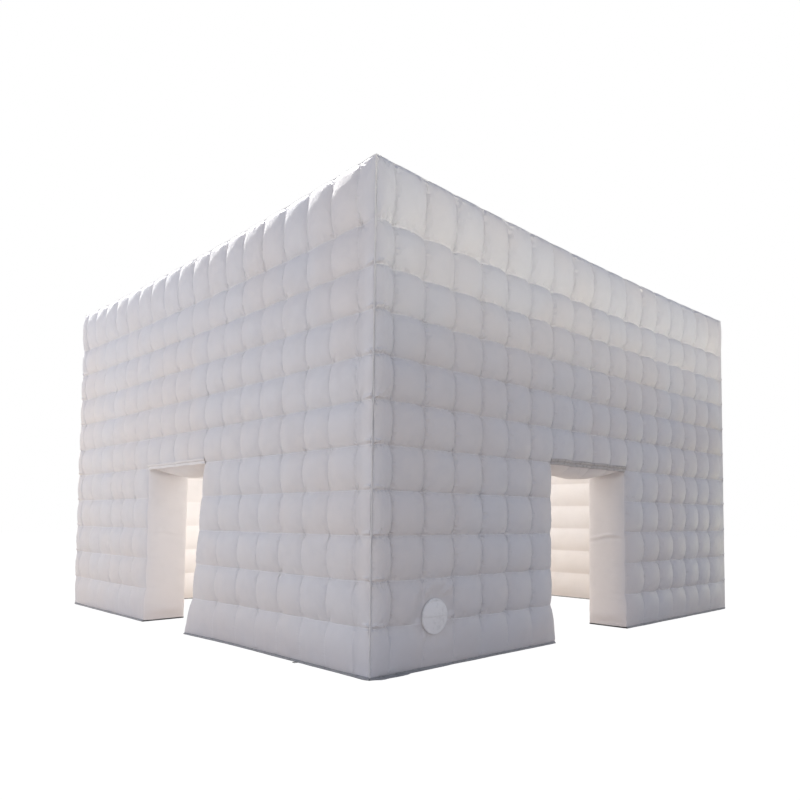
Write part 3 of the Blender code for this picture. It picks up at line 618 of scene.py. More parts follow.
class Graph:
    """Short calls that add and join the nodes of one material."""

    def __init__(self, name, colour, roughness):
        self.material = bpy.data.materials.new(name)
        self.material.use_nodes = True
        self.material.diffuse_color = (*colour, 1.0)
        self.tree = self.material.node_tree
        self.shader = self.tree.nodes["Principled BSDF"]
        self.colour = (*colour, 1.0)
        self.shade("Roughness", roughness)

    def feed(self, socket, value):
        """Join a socket to an input, or set the input's own value."""
        if isinstance(value, bpy.types.NodeSocket):
            self.tree.links.new(value, socket)
        else:
            socket.default_value = value

    def shade(self, name, value):
        """Set or feed one of the shader's inputs."""
        self.feed(self.shader.inputs[name], value)

    def add(self, kind, inputs, **fields):
        """A node with its fields and inputs set."""
        node = self.tree.nodes.new(kind)
        for field, value in fields.items():
            setattr(node, field, value)
        for key, value in inputs.items():
            self.feed(node.inputs[key], value)
        return node

    def math(self, operation, *values):
        """A math node's result."""
        return self.add("ShaderNodeMath", dict(enumerate(values)), operation=operation).outputs[0]

    def times(self, first, second):
        """The product of two values."""
        return self.math("MULTIPLY", first, second)

    def vector(self, operation, *values, output=0):
        """A vector math node's result."""
        node = self.add("ShaderNodeVectorMath", dict(enumerate(values)), operation=operation)
        return node.outputs[output]

    def parts(self, vector):
        """The three parts of a vector."""
        return self.add("ShaderNodeSeparateXYZ", {0: vector}).outputs

    def step(self, value, low, high, start=0.0, end=1.0):
        """A smooth step of a value between two limits."""
        limits = {"Value": value, "From Min": low, "From Max": high, "To Min": start, "To Max": end}
        return self.add("ShaderNodeMapRange", limits, interpolation_type="SMOOTHSTEP").outputs["Result"]

    def near(self, distance, reach, full=1.0):
        """A value that fades from full to 0 within its reach."""
        return self.step(distance, 0.0, reach, full, 0.0)

    def place(self):
        """The object's own coordinates."""
        return self.add("ShaderNodeTexCoord", {}).outputs["Object"]

    def noise(self, vector, scale, detail=2.0, distortion=0.0):
        """A noise texture's value."""
        inputs = {"Vector": vector, "Scale": scale, "Detail": detail, "Distortion": distortion}
        return self.add("ShaderNodeTexNoise", inputs).outputs["Fac"]

    def mix(self, factor, first, second):
        """A mix of two colours."""
        node = self.add("ShaderNodeMix", {}, data_type="RGBA")
        for number, value in zip(MIX_INPUTS, (factor, first, second)):
            self.feed(node.inputs[number], value)
        return node.outputs[MIX_OUTPUT]

    def scaled(self, depth):
        """The graph's base colour times a share."""
        return (*(c * depth for c in self.colour[:3]), 1.0)

    def bump(self, height, distance, strength, normal=None):
        """A bump of a height in metres."""
        inputs = {"Height": height, "Distance": distance, "Strength": strength}
        if normal is not None:
            inputs["Normal"] = normal
        return self.add("ShaderNodeBump", inputs).outputs["Normal"]


def weave_height(graph, place, threads):
    """The fine over and under of woven threads, so many to the metre."""
    parts = graph.parts(place)
    waves = [graph.math("SINE", graph.times(parts[axis], threads * math.tau)) for axis in range(3)]
    return graph.times(graph.math("ADD", waves[0], waves[1]), waves[2])


def gathers(graph, quilt_at):
    """Short creases that run out of each crossing of two seams, as a height."""
    crossing = graph.vector("FLOOR", graph.vector("ADD", quilt_at, (0.5, 0.5, 0.0)))
    away = graph.vector("MULTIPLY", graph.vector("SUBTRACT", quilt_at, crossing), (PITCH, ROW_HEIGHT, 0.0))
    far = graph.vector("LENGTH", away, output="Value")
    ray = graph.vector("MULTIPLY", graph.vector("NORMALIZE", away), (GATHER_COUNT,) * 3)
    apart = graph.vector("MULTIPLY", crossing, GATHER_SPACING)
    fold = graph.step(graph.noise(graph.vector("ADD", ray, apart), 1.0, detail=0.0), *GATHER_FOLD)
    patchy = graph.step(graph.noise(apart, GATHER_PATCH, detail=0.0), *GATHER_PATCHES)
    fade = graph.step(far, GATHER_FADE, GATHER_REACH, 1.0, 0.0)
    near = graph.times(graph.step(far, 0.0, GATHER_START), fade)
    return graph.times(graph.times(fold, near), patchy)


def seam_creases(graph, quilt_at, off_column, off_row):
    """Fine creases that cross each seam close beside it, as a height."""
    level = graph.noise(graph.vector("MULTIPLY", quilt_at, LEVEL_CREASE), 1.0, 3.0, 0.2)
    upright = graph.noise(graph.vector("MULTIPLY", quilt_at, UPRIGHT_CREASE), 1.0, 3.0, 0.2)
    beside_column = graph.near(off_column, LEVEL_CREASE_REACH)
    beside_row = graph.near(off_row, UPRIGHT_CREASE_REACH)
    return graph.math("ADD", graph.times(level, beside_column), graph.times(upright, beside_row))


def stitch_height(graph, parts, off_seam):
    """A row of stitches to each side of a seam, as a height."""
    wave = graph.math("SINE", graph.times(graph.math("ADD", parts[0], parts[1]), STITCH_COUNT))
    off_line = graph.math("ABSOLUTE", graph.math("SUBTRACT", off_seam, STITCH_OFFSET))
    return graph.times(wave, graph.near(off_line, STITCH_WIDTH))


def cloth_colour(graph, colour, warm, place, blotch, darker_foot):
    """The cloth's colour with warm areas, faint blotches and, where asked for, a foot that is made darker
    towards the bottom.
    """
    slow = graph.noise(place, scale=0.9, detail=3.0)
    tint = (*(c * w for c, w in zip(colour, warm)), 1.0)
    body = graph.mix(graph.step(slow, 0.35, 0.65), graph.colour, tint)
    body = graph.mix(graph.step(blotch, 0.42, 0.75, 0.0, BLOTCH_STRENGTH), body, graph.scaled(BLOTCH_SHARE))
    # The colour is made darker towards the foot, with an uneven upper edge
    if darker_foot:
        height = graph.math("ADD", graph.parts(place)[2], graph.times(blotch, DARKER_FOOT_UNEVENNESS))
        low = graph.step(height, *DARKER_FOOT_HEIGHTS, darker_foot, 0.0)
        darkened = (*(c * share for c, share in zip(colour, DARKER_FOOT_SHARES)), 1.0)
        body = graph.mix(low, body, darkened)
    return body


def cloth_material(name, colour, roughness=0.5, sheen=0.15, seam_shade=0.97, darker_foot=0.0, pucker=1.0,
                   warm=(1.03, 1.0, 0.97), threads=420.0, seam_highlight=0.38):
    """Coated cloth with stitched seams, a painted shadow line along them and a painted highlight beside them,
    fine creases across them, a weave and uneven colour.
    """
    graph = Graph(name, colour, roughness)
    place = graph.place()
    quilt_at = graph.add("ShaderNodeAttribute", {}, attribute_name="quilt").outputs["Vector"]
    parts = graph.parts(quilt_at)
    off_column = graph.times(graph.math("PINGPONG", parts[0], 0.5), PITCH)
    off_row = graph.times(graph.math("PINGPONG", parts[1], 0.5), ROW_HEIGHT)
    off_seam = graph.math("MINIMUM", off_column, off_row)
    blotch = graph.noise(place, scale=5.5, detail=4.0, distortion=0.4)

    body = cloth_colour(graph, colour, warm, place, blotch, darker_foot)
    # Painted shadow: a thin line along each seam is darkened where the crease would lie in shade
    seam_shadow = graph.step(off_seam, *SEAM_SHADOW_REACH, 1.0, 0.0)
    body = graph.mix(graph.times(seam_shadow, 1.0 - seam_shade), body, graph.scaled(SEAM_SHADOW_SHARE))
    # Painted highlight: the colour is made lighter in a thin band along each seam, most along the level seams
    row_highlight = graph.near(off_row, SEAM_HIGHLIGHT_REACH, seam_highlight)
    column_highlight = graph.near(off_column, SEAM_HIGHLIGHT_REACH, 0.5 * seam_highlight)
    body = graph.mix(graph.math("MAXIMUM", row_highlight, column_highlight), body, graph.scaled(SEAM_HIGHLIGHT_SHARE))
    graph.shade("Base Color", body)
    graph.shade("Roughness", graph.step(blotch, 0.3, 0.75, roughness - 0.06, roughness + 0.10))
    graph.shade("Specular IOR Level", 0.32)
    graph.shade("Sheen Weight", sheen)
    graph.shade("Sheen Roughness", 0.45)

    soft = graph.bump(graph.noise(place, scale=7.0, detail=3.0, distortion=0.8), 0.010, 0.16)
    creases = seam_creases(graph, quilt_at, off_column, off_row)
    pulled = graph.bump(creases, 0.012, 0.55 * pucker, soft)
    gathered = graph.bump(gathers(graph, quilt_at), 0.010, 0.8 * pucker, pulled)
    seam = graph.bump(graph.step(off_seam, 0.002, 0.012), 0.004, 0.15, gathered)
    stitched = graph.bump(stitch_height(graph, parts, off_seam), 0.001, 0.4, seam)
    graph.shade("Normal", graph.bump(weave_height(graph, place, threads), 0.0004, 0.25, stitched))
    return graph.material


def plain_material(name, colour, roughness, metallic=0.0, ribs=0.0, grain=350.0, wear=0.75):
    """Moulded plastic, tape, webbing or metal with grain, ribs and worn patches."""
    graph = Graph(name, colour, roughness)
    place = graph.place()
    worn = graph.step(graph.noise(place, scale=24.0, detail=4.0, distortion=0.3), 0.45, 0.72)
    fine = graph.noise(place, grain)
    graph.shade("Base Color", graph.mix(worn, graph.colour, graph.scaled(wear)))
    graph.shade("Roughness", graph.step(fine, 0.3, 0.7, roughness - 0.08, roughness + 0.08))
    graph.shade("Metallic", metallic)
    normal = graph.bump(fine, 0.0006, 0.3)
    if ribs:
        normal = graph.bump(weave_height(graph, place, ribs), 0.0008, 0.6, normal)
    graph.shade("Normal", normal)
    return graph.material


# Each finish's colour in the sidebar, with what sets it apart from the others
CLOTHS = {
    "outer_cloth": ("outer", dict(darker_foot=0.06)),
    "roof_cloth": ("outer", {}),
    "inner_cloth": ("inner", dict(roughness=0.60, sheen=0.10, seam_shade=0.9, pucker=0.6,
                                  warm=(1.0, 0.985, 0.965))),
    "jamb_cloth": ("jamb", dict(roughness=0.55, sheen=0.12, seam_shade=0.8, darker_foot=0.1, pucker=0.5,
                                warm=(1.01, 1.0, 0.99))),
}
PLAIN_FINISHES = {
    "base_cloth": ("base", dict(roughness=0.75, ribs=500.0)),
    "web_cloth": ("web", dict(roughness=0.75, ribs=700.0, wear=0.92)),
    "piping_cord": ("piping", dict(roughness=0.60, ribs=600.0, wear=0.95)),
    "hem_tape": ("hem", dict(roughness=0.85, ribs=450.0)),
    "port_plastic": ("port", dict(roughness=0.42, wear=0.9)),
    "sleeve_cloth": ("sleeve", dict(roughness=0.70, ribs=600.0, wear=0.9)),
    "zip_tape": ("zip_tape", dict(roughness=0.80, ribs=700.0)),
    "slider_metal": ("metal", dict(roughness=0.35, metallic=1.0, wear=0.6)),
    "webbing": ("webbing", dict(roughness=0.85, ribs=350.0)),
}
MATERIALS = {}


def make_material(name):
    """Build one of the tent's finishes from the colours in the sidebar."""
    make, table = (cloth_material, CLOTHS) if name in CLOTHS else (plain_material, PLAIN_FINISHES)
    key, settings = table[name]
    return make(name, getattr(finish_colours(), key)[:], **settings)


def material(name):
    """One of the tent's finishes, made the first time that it is asked for."""
    if name not in MATERIALS:
        MATERIALS[name] = make_material(name)
    return MATERIALS[name]


OUTER_PANELS = [
    ("front_left", "front", -CLOTH_END, DOOR_LEFT, CLOTH_FOOT),
    ("front_right", "front", DOOR_RIGHT, CLOTH_END, CLOTH_FOOT),
    ("front_header", "front", DOOR_LEFT, DOOR_RIGHT, DOOR_HEAD),
    ("left_rear", "left", -CLOTH_END, DOOR_LEFT, CLOTH_FOOT),
    ("left_front", "left", DOOR_RIGHT, CLOTH_END, CLOTH_FOOT),
    ("left_header", "left", DOOR_LEFT, DOOR_RIGHT, DOOR_HEAD),
    ("back", "back", -CLOTH_END, CLOTH_END, CLOTH_FOOT),
    ("right", "right", -CLOTH_END, CLOTH_END, CLOTH_FOOT),
]


def outer_wall_piece(name, side, start, end, foot):
    """One quilted panel of an outer wall."""
    steps = quilt_sizes().cell_steps
    us = places(COLUMN_MARKS, start, end, steps)
    vs = places(ROW_MARKS, foot, CLOTH_TOP, steps)
    cloth = quilt(side, us, vs)
    points, drop = cloth.points, None
    if name == "front_left":
        points, drop = cut_port_hole(points, us, vs)
    piece = grid_object(f"{name}_outer_cloth", to_world(side, points), cloth.coords, False, drop)
    piece.data.set_sharp_from_angle(angle=SEAM_CREASE)
    dress(piece, "tent", "outer_cloth", f"{name}_outer_skin")


def cut_port_hole(points, us, vs):
    """Draw the points round the port to the edge of its hole, and say which faces to drop."""
    across, up = np.meshgrid(us - PORT_X, vs - PORT_Z, indexing="ij")
    far = np.hypot(across, up)
    inside = far < PORT_HOLE + PORT_HOLE_DRAWN
    middle = (far[:-1, :-1] + far[1:, :-1] + far[1:, 1:] + far[:-1, 1:]) / 4
    drop = middle < PORT_HOLE + PORT_HOLE_CUT
    grow = np.where(inside & (far > SNAP), PORT_HOLE / np.maximum(far, SNAP), 1.0)
    points[..., 0] = np.where(inside, PORT_X + across * grow, points[..., 0])
    points[..., 2] = np.where(inside, PORT_Z + up * grow, points[..., 2])
    return points, drop


# The roof's own seed, the share of its swell that a seam keeps, and its slow unevenness
ROOF_SEED, ROOF_SEAM_SHARE = 9, 0.45
ROOF_WANDER, ROOF_WANDER_SEED, ROOF_WANDER_LENGTH = 0.006, 91, 1.5


def roof_piece():
    """The quilted roof."""
    sizes = quilt_sizes()
    us = places(COLUMN_MARKS, -CLOTH_END, CLOTH_END, sizes.roof_steps)
    rng = np.random.default_rng(sizes.seed + ROOF_SEED)
    count = len(COLUMN_MARKS) - 1
    library = cell_library(sizes.cell_steps)
    variant = rng.integers(0, len(library), (count, count))
    mirror = rng.random((count, count)) < 0.5
    cells, shares = cells_along(COLUMN_MARKS, us)
    s, t = np.meshgrid(shares, shares, indexing="ij")
    cell = np.ix_(cells, cells)
    seam = np.full(count + 1, sizes.roof_swell * ROOF_SEAM_SHARE)
    seam[[0, -1]] = 0.0
    low, high = seam[cells], seam[cells + 1]
    swell = between_seams(s, t, low[:, None], high[:, None], low[None, :], high[None, :])
    read = pick(library, variant[cell], mirror[cell], s, t)
    u, v = np.meshgrid(us, us, indexing="ij")
    hold = arc((u + CLOTH_END) / (2 * CLOTH_END))
    swell += -read[..., 1]
    swell += ROOF_WANDER * hold * wander(u, v, ROOF_WANDER_SEED, ROOF_WANDER_LENGTH)
    top = EAVE_HEIGHT - PIPING_RADIUS
    points = np.stack([u + read[..., 0], v + read[..., 2], top + swell], -1)
    coords = np.stack([cells[:, None] + s, cells[None, :] + t, 0 * s], -1)
    piece = grid_object("roof_outer_cloth", sagged(points), coords, False)
    dress(piece, "tent", "outer_cloth", "roof_outer_skin", finish="roof_cloth")


# The room's channels: how they ease into the corners, their creases and their slow unevenness
CHANNEL_EASE, CHANNEL_HOLD, CHANNEL_END_SHARE = 0.12, 0.03, 0.35
CHANNEL_CREASE, CHANNEL_CREASE_REACH, CHANNEL_CREASE_LENGTH, CHANNEL_STEP = 0.010, 0.05, 0.12, 1.7
CHANNEL_WANDER, CHANNEL_WANDER_SHARE, CHANNEL_WANDER_LENGTH = 0.007, 0.6, 0.8
CREASE_SEED, CHANNEL_SEED, CEILING_SEED = 31, 37, 61
CHANNEL_LEAST, CEILING_GRID = 4, 60


def channel_places(us, marks):
    """A grid over channels between marks: its places, and each one's channel and share across it."""
    vs = places(marks, marks[0], marks[-1], quilt_sizes().channel_steps)
    row, t = cells_along(np.array(marks), vs)
    u, v = np.meshgrid(us, vs, indexing="ij")
    return u, v, np.broadcast_to(row[None, :], u.shape), np.broadcast_to(t[None, :], u.shape)


def channel_creases(u, rows, t, height, seed):
    """Creases that cross a channel's two seams."""
    near = np.exp(-np.minimum(t, 1 - t) * height / CHANNEL_CREASE_REACH) * arc(t)
    return CHANNEL_CREASE * near * wander(u, rows * CHANNEL_STEP, seed, CHANNEL_CREASE_LENGTH)


def channel_coords(rows, t):
    """The quilting coordinates of a grid over channels, which has no upright seams."""
    return np.stack([np.full(t.shape, 0.5), rows + t, 0 * t], -1)


def inner_wall_piece(name, side, start, end, foot):
    """One panel of the room's wall, swollen into level channels."""
    sizes = quilt_sizes()
    start, end = max(start, -INNER_FACE), min(end, INNER_FACE)
    marks = [foot] + [m for m in ROW_SEAMS[:-1] if foot < m < CEILING_HEIGHT] + [CEILING_HEIGHT]
    count = max(CHANNEL_LEAST, round((end - start) / sizes.channel_grid))
    u, v, rows, t = channel_places(np.linspace(start, end, count + 1), marks)
    turn = SIDE_ORDER.index(side)
    fade = smooth(u, start, start + CHANNEL_EASE) * smooth(-u, -end, -end + CHANNEL_EASE)
    swell = sizes.channel_swell * arc(t) * (CHANNEL_END_SHARE + (1 - CHANNEL_END_SHARE) * fade)
    swell += channel_creases(u, rows, t, ROW_HEIGHT, CREASE_SEED + turn)
    slow = wander(u, v * CHANNEL_WANDER_SHARE + rows, CHANNEL_SEED + turn, CHANNEL_WANDER_LENGTH)
    swell += CHANNEL_WANDER * arc(t) * slow
    swell *= smooth(u, start, start + CHANNEL_HOLD) * smooth(-u, -end, -end + CHANNEL_HOLD)
    points = to_world(side, np.stack([u, -INNER_FACE + swell, v], -1))
    piece = grid_object(f"{name}_inner_cloth", points, channel_coords(rows, t), True)
    dress(piece, "tent", "inner_cloth", f"{name}_inner_skin")


def ceiling_piece():
    """The room's ceiling, hanging in channels between its webs."""
    inside = [m for m in COLUMN_SEAMS if abs(m) < INNER_FACE - PITCH / 2]
    us = np.linspace(-INNER_FACE, INNER_FACE, CEILING_GRID + 1)
    u, v, rows, t = channel_places(us, [-INNER_FACE] + inside + [INNER_FACE])
    swell = quilt_sizes().channel_swell * arc(t)
    swell += channel_creases(u, rows, t, PITCH, CEILING_SEED)
    swell *= smooth(INNER_FACE - np.abs(u), 0.0, CHANNEL_EASE)
    points = np.stack([u, v, CEILING_HEIGHT - swell], -1)
    piece = grid_object("ceiling_cloth", sagged(points), channel_coords(rows, t), True)
    dress(piece, "tent", "inner_cloth", "ceiling_skin")


# A doorway's sides: their easing, the fold at mid height and the ripples at their front edge
JAMB_STEPS, LINTEL_STEPS = 28, 24
JAMB_FOOT_EASE, JAMB_HEAD_EASE, JAMB_EXTRA_SWELL, JAMB_END_SHARE = 0.16, 0.10, 0.02, 0.45
JAMB_ROUND_POWER, JAMB_FULL_POWER = 3.0, 0.8
JAMB_FOLD_HEIGHT_SHARE, JAMB_FOLD_WAVE, JAMB_FOLD_WAVES = 0.56, 0.03, 5
JAMB_FOLD_DEPTHS = {1: 0.005, -1: 0.022}
JAMB_FOLD_WIDTH, JAMB_BACK_GAP, JAMB_BACK_WIDTH, JAMB_BACK_SHARE = 0.016, 0.034, 0.018, 0.6
JAMB_WANDER, JAMB_WANDER_SHARE, JAMB_WANDER_LENGTH, JAMB_WANDER_SEED = 0.006, 0.6, 0.7, 41
JAMB_RIPPLE, JAMB_RIPPLE_SHARE, JAMB_RIPPLE_LENGTH, JAMB_RIPPLE_SEED = 0.006, 0.1, 0.10, 43
JAMB_RIPPLE_FADE, JAMB_RIPPLE_START = 0.12, 0.03
LINTEL_ROUND_POWER, LINTEL_WANDER, LINTEL_WANDER_LENGTH, LINTEL_SEED = 2.5, 0.005, 0.5, 53


def eased(steps):
    """Shares from 0 to 1, closer together at both ends."""
    return 0.5 - 0.5 * np.cos(np.linspace(0, math.pi, steps + 1))


def jamb_swell(side, facing, a, v):
    """How far a doorway's side swells into the opening, at its depth share a and height v."""
    turn = SIDE_ORDER.index(side)
    ends = smooth(v, CLOTH_FOOT, CLOTH_FOOT + JAMB_FOOT_EASE)
    ends = ends * smooth(-v, -DOOR_HEAD, -DOOR_HEAD + JAMB_HEAD_EASE)
    full = (1 - np.abs(2 * a - 1) ** JAMB_ROUND_POWER) ** JAMB_FULL_POWER
    off = v - (JAMB_FOLD_HEIGHT_SHARE * DOOR_HEAD + JAMB_FOLD_WAVE * np.sin(JAMB_FOLD_WAVES * a))
    fold = ridge(off, JAMB_FOLD_WIDTH) - JAMB_BACK_SHARE * ridge(off - JAMB_BACK_GAP, JAMB_BACK_WIDTH)
    swell = quilt_sizes().jamb_swell + JAMB_EXTRA_SWELL * ends
    swell = swell * full * (JAMB_END_SHARE + (1 - JAMB_END_SHARE) * ends)
    swell -= JAMB_FOLD_DEPTHS[facing] * fold * full
    slow = wander(a * JAMB_WANDER_SHARE, v, JAMB_WANDER_SEED + turn, JAMB_WANDER_LENGTH)
    ripple = wander(a * JAMB_RIPPLE_SHARE, v, JAMB_RIPPLE_SEED + turn, JAMB_RIPPLE_LENGTH)
    swell += JAMB_WANDER * full * slow
    return swell + JAMB_RIPPLE * ripple * np.exp(-a / JAMB_RIPPLE_FADE) * (1 - np.exp(-a / JAMB_RIPPLE_START))


def jamb_piece(name, side, at, facing):
    """A doorway's side: smooth cloth from the quilted wall's edge round into the room."""
    vs = places(ROW_MARKS, CLOTH_FOOT, DOOR_HEAD, quilt_sizes().cell_steps)
    edge = quilt(side, np.array([at]), vs).points[0]
    a, v = np.meshgrid(eased(JAMB_STEPS), vs, indexing="ij")
    inner = np.stack([np.full(len(vs), at), np.full(len(vs), -INNER_FACE), vs], -1)
    points = edge[None] * (1 - a[..., None]) + inner[None] * a[..., None]
    points[..., 0] += facing * jamb_swell(side, facing, a, v)
    coords = np.stack([a, np.full(a.shape, 0.5), 0 * a], -1)
    piece = grid_object(f"{name}_jamb_cloth", to_world(side, points), coords, facing < 0)
    dress(piece, "tent", "jamb_cloth", f"{name}_jamb")


def lintel_piece(side):
    """A doorway's sagging underside."""
    sizes = quilt_sizes()
    us = places(COLUMN_MARKS, DOOR_LEFT, DOOR_RIGHT, sizes.cell_steps)
    edge = quilt(side, us, np.array([DOOR_HEAD])).points[:, 0]
    share = eased(LINTEL_STEPS)
    a = share[None, :, None]
    inner = np.stack([us, np.full(len(us), -INNER_FACE), np.full(len(us), DOOR_HEAD)], -1)
    points = edge[:, None] * (1 - a) + inner[:, None] * a
    u, b = np.meshgrid(us, share, indexing="ij")
    reach = (2 * u - DOOR_LEFT - DOOR_RIGHT) / (DOOR_RIGHT - DOOR_LEFT)
    middle = 1 - reach ** 2
    sag = sizes.lintel_sag * middle * (1 - np.abs(2 * b - 1) ** LINTEL_ROUND_POWER)
    sag += LINTEL_WANDER * middle * arc(b) * wander(u, b, LINTEL_SEED, LINTEL_WANDER_LENGTH)
    points[..., 2] -= sag
    coords = np.stack([np.full(u.shape, 0.5), b, 0 * b], -1)
    piece = grid_object(f"{side}_lintel_cloth", to_world(side, points), coords, True)
    dress(piece, "tent", "jamb_cloth", f"{side}_lintel")


# The tape's profile, as how far out each point lies and its share of the hem's height
HEM_PROFILE = [
    (-0.004, -0.36), (0.010, -0.38), (0.013, -0.25), (0.013, 0.28), (0.009, 0.32),
    (0.016, 0.34), (0.016, 0.94), (0.008, 1.02), (0.000, 1.02),
]
HEM_OVERLAP, HEM_STEPS, HEM_TAPE_WIDTH = 0.012, 96, 0.118
HEM_WANDER, HEM_WANDER_LENGTH, HEM_SEED = 0.004, 0.4, 57


def hem_piece(side):
    """The folded tape sewn along the front edge of a lintel, in two laps."""
    us = np.linspace(DOOR_LEFT - HEM_OVERLAP, DOOR_RIGHT + HEM_OVERLAP, HEM_STEPS + 1)
    inside = np.clip(us, DOOR_LEFT, DOOR_RIGHT)
    height = HEM_TOP - DOOR_HEAD
    low, high = np.moveaxis(quilt(side, inside, np.array([DOOR_HEAD, HEM_TOP])).points[..., 1], 1, 0)
    uneven = HEM_WANDER * wander(us, us * 0, HEM_SEED, HEM_WANDER_LENGTH)
    points = np.empty((len(us), len(HEM_PROFILE), 3))
    for j, (out, up) in enumerate(HEM_PROFILE):
        lift = np.clip(up, 0.0, 1.0)
        y = low * (1 - lift) + high * lift - out
        points[:, j] = np.stack([us, y, DOOR_HEAD + up * height + uneven], -1)
    coords = np.stack([np.full(points.shape[:2], 0.5)] * 3, -1)
    piece = grid_object(f"{side}_door_hem_tape", to_world(side, points), coords, False)
    dress(piece, "tent", "hem_tape" if side == "front" else "jamb_cloth", f"{side}_door_hem")


BASE_STRIPS = [
    ("front_left", "front", -HALF_PLAN, DOOR_LEFT),
    ("front_right", "front", DOOR_RIGHT, HALF_PLAN),
    ("right", "right", -HALF_PLAN, HALF_PLAN),
    ("back", "back", -HALF_PLAN, HALF_PLAN),
    ("left_rear", "left", -HALF_PLAN, DOOR_LEFT),
    ("left_front", "left", DOOR_RIGHT, HALF_PLAN),
]


# The ground strips: their uneven edge, and the loose flap near the front left corner
BASE_GRID, BASE_LEAST, BASE_STRIP_WIDTH = 0.05, 8, 0.70
BASE_SEED, BASE_LENGTH, BASE_FINE_SEED, BASE_FINE_LENGTH = 81, 0.7, 85, 0.15
BASE_EDGE, BASE_EDGE_ROUGH, BASE_EDGE_FINE = 0.014, 0.006, 0.003
BASE_OVERLAP, BASE_RISE_ROUGH, BASE_HOLD = 0.006, 0.005, 0.05
BASE_LIP, BASE_LIP_RISE, BASE_LIP_UNDER = 0.004, 0.004, 0.003
BASE_TUCK, BASE_UNDER, BASE_GROUND, BASE_INNER_RISE = 0.020, 0.05, 0.0005, 0.012
BASE_BEND_SHARES, BASE_FLAP_RISE = (0.8, 0.6), 0.008
FLAP_START, FLAP_END, FLAP_FULL = (-3.97, -3.88), (2.88, 2.95), (3.48, 3.58)
FLAP_LOW_SHARE, FLAP_FINE_SHARE, FLAP_UPPER, FLAP_LOWER = 0.3, 0.15, 0.020, 0.045


def base_flap(us, fine):
    """How far the loose flap stands out along the front left strip, from 0 to about 1."""
    along = smooth(us, *FLAP_START) * smooth(-us, *FLAP_END)
    full = FLAP_LOW_SHARE + (1 - FLAP_LOW_SHARE) * smooth(-us, *FLAP_FULL)
    return along * full * (1.0 + FLAP_FINE_SHARE * fine)


def base_piece(name, side, start, end):
    """The dark strip that closes a wall against the ground, with its edge turned out unevenly."""
    turn = SIDE_ORDER.index(side)
    count = max(BASE_LEAST, round((end - start) / BASE_GRID))
    us = np.linspace(start, end, count + 1)
    rough = wander(us, 0 * us, BASE_SEED + turn, BASE_LENGTH)
    fine = wander(us, 0 * us, BASE_FINE_SEED + turn, BASE_FINE_LENGTH)
    edge = BASE_EDGE + BASE_EDGE_ROUGH * rough + BASE_EDGE_FINE * fine
    flap = base_flap(us, fine) if name == "front_left" else 0 * us
    rise = CLOTH_FOOT + BASE_OVERLAP + BASE_RISE_ROUGH * rough
    held = smooth(HALF_PLAN - np.abs(us), 0.0, BASE_HOLD)
    bend, bend_rise = BASE_BEND_SHARES
    upper, lower = (edge + FLAP_UPPER * flap) * held, (edge + FLAP_LOWER * flap) * held
    inner = INNER_FACE - HALF_PLAN
    profile = [
        (-BASE_TUCK, rise), (BASE_LIP + BASE_LIP * fine * held, rise),
        (edge * bend * held + BASE_LIP, CLOTH_FOOT * bend_rise), (upper + BASE_LIP, BASE_FLAP_RISE),
        (lower + BASE_LIP, BASE_LIP_RISE), (lower + BASE_LIP_UNDER, BASE_GROUND),
        (-BASE_UNDER, BASE_GROUND), (inner, BASE_GROUND), (inner - BASE_LIP, BASE_INNER_RISE),
        (inner, CLOTH_FOOT),
    ]
    points = np.empty((len(us), len(profile), 3))
    for j, (out, z) in enumerate(profile):
        points[:, j] = np.stack([us, -(HALF_PLAN + out) + 0 * us, z + 0 * us], -1)
    piece = grid_object(f"{name}_base_strip", to_world(side, points), None, True)
    dress(piece, "tent", "base_cloth", f"{name}_base")


def tube_object(name, route, radius, cyclic, resolution=3):
    """A round cord along a route, as a mesh with closed ends."""
    curve = bpy.data.curves.new(name, "CURVE")
    curve.dimensions = "3D"
    curve.bevel_depth = radius
    curve.bevel_resolution = resolution
    curve.use_fill_caps = not cyclic
    spline = curve.splines.new("POLY")
    spline.points.add(len(route) - 1)
    spline.points.foreach_set("co", np.column_stack([route, np.ones(len(route))]).reshape(-1))
    spline.use_cyclic_u = cyclic
    return as_mesh(bpy.data.objects.new(name, curve))


CAP_WELD, CAP_CREASE, RING_CREASE = 0.00002, math.radians(40), math.radians(50)


def as_mesh(item):
    """Turn a curve object into a mesh object with its caps joined."""
    bpy.context.scene.collection.objects.link(item)
    made = bpy.data.meshes.new_from_object(item.evaluated_get(bpy.context.evaluated_depsgraph_get()))
    name = item.name
    bpy.data.objects.remove(item)
    reworked(made, lambda bm: bmesh.ops.remove_doubles(bm, verts=bm.verts, dist=CAP_WELD))
    made.shade_smooth()
    made.set_sharp_from_angle(angle=CAP_CREASE)
    made.name = name
    return mesh_object(name, made)


CORD_STEPS, EAVE_CORD_STEPS = 160, 120
CORD_SHARE, CORD_WANDER, CORD_WANDER_LENGTH, CORD_SEED = 1.5, 0.004, 0.6, 20


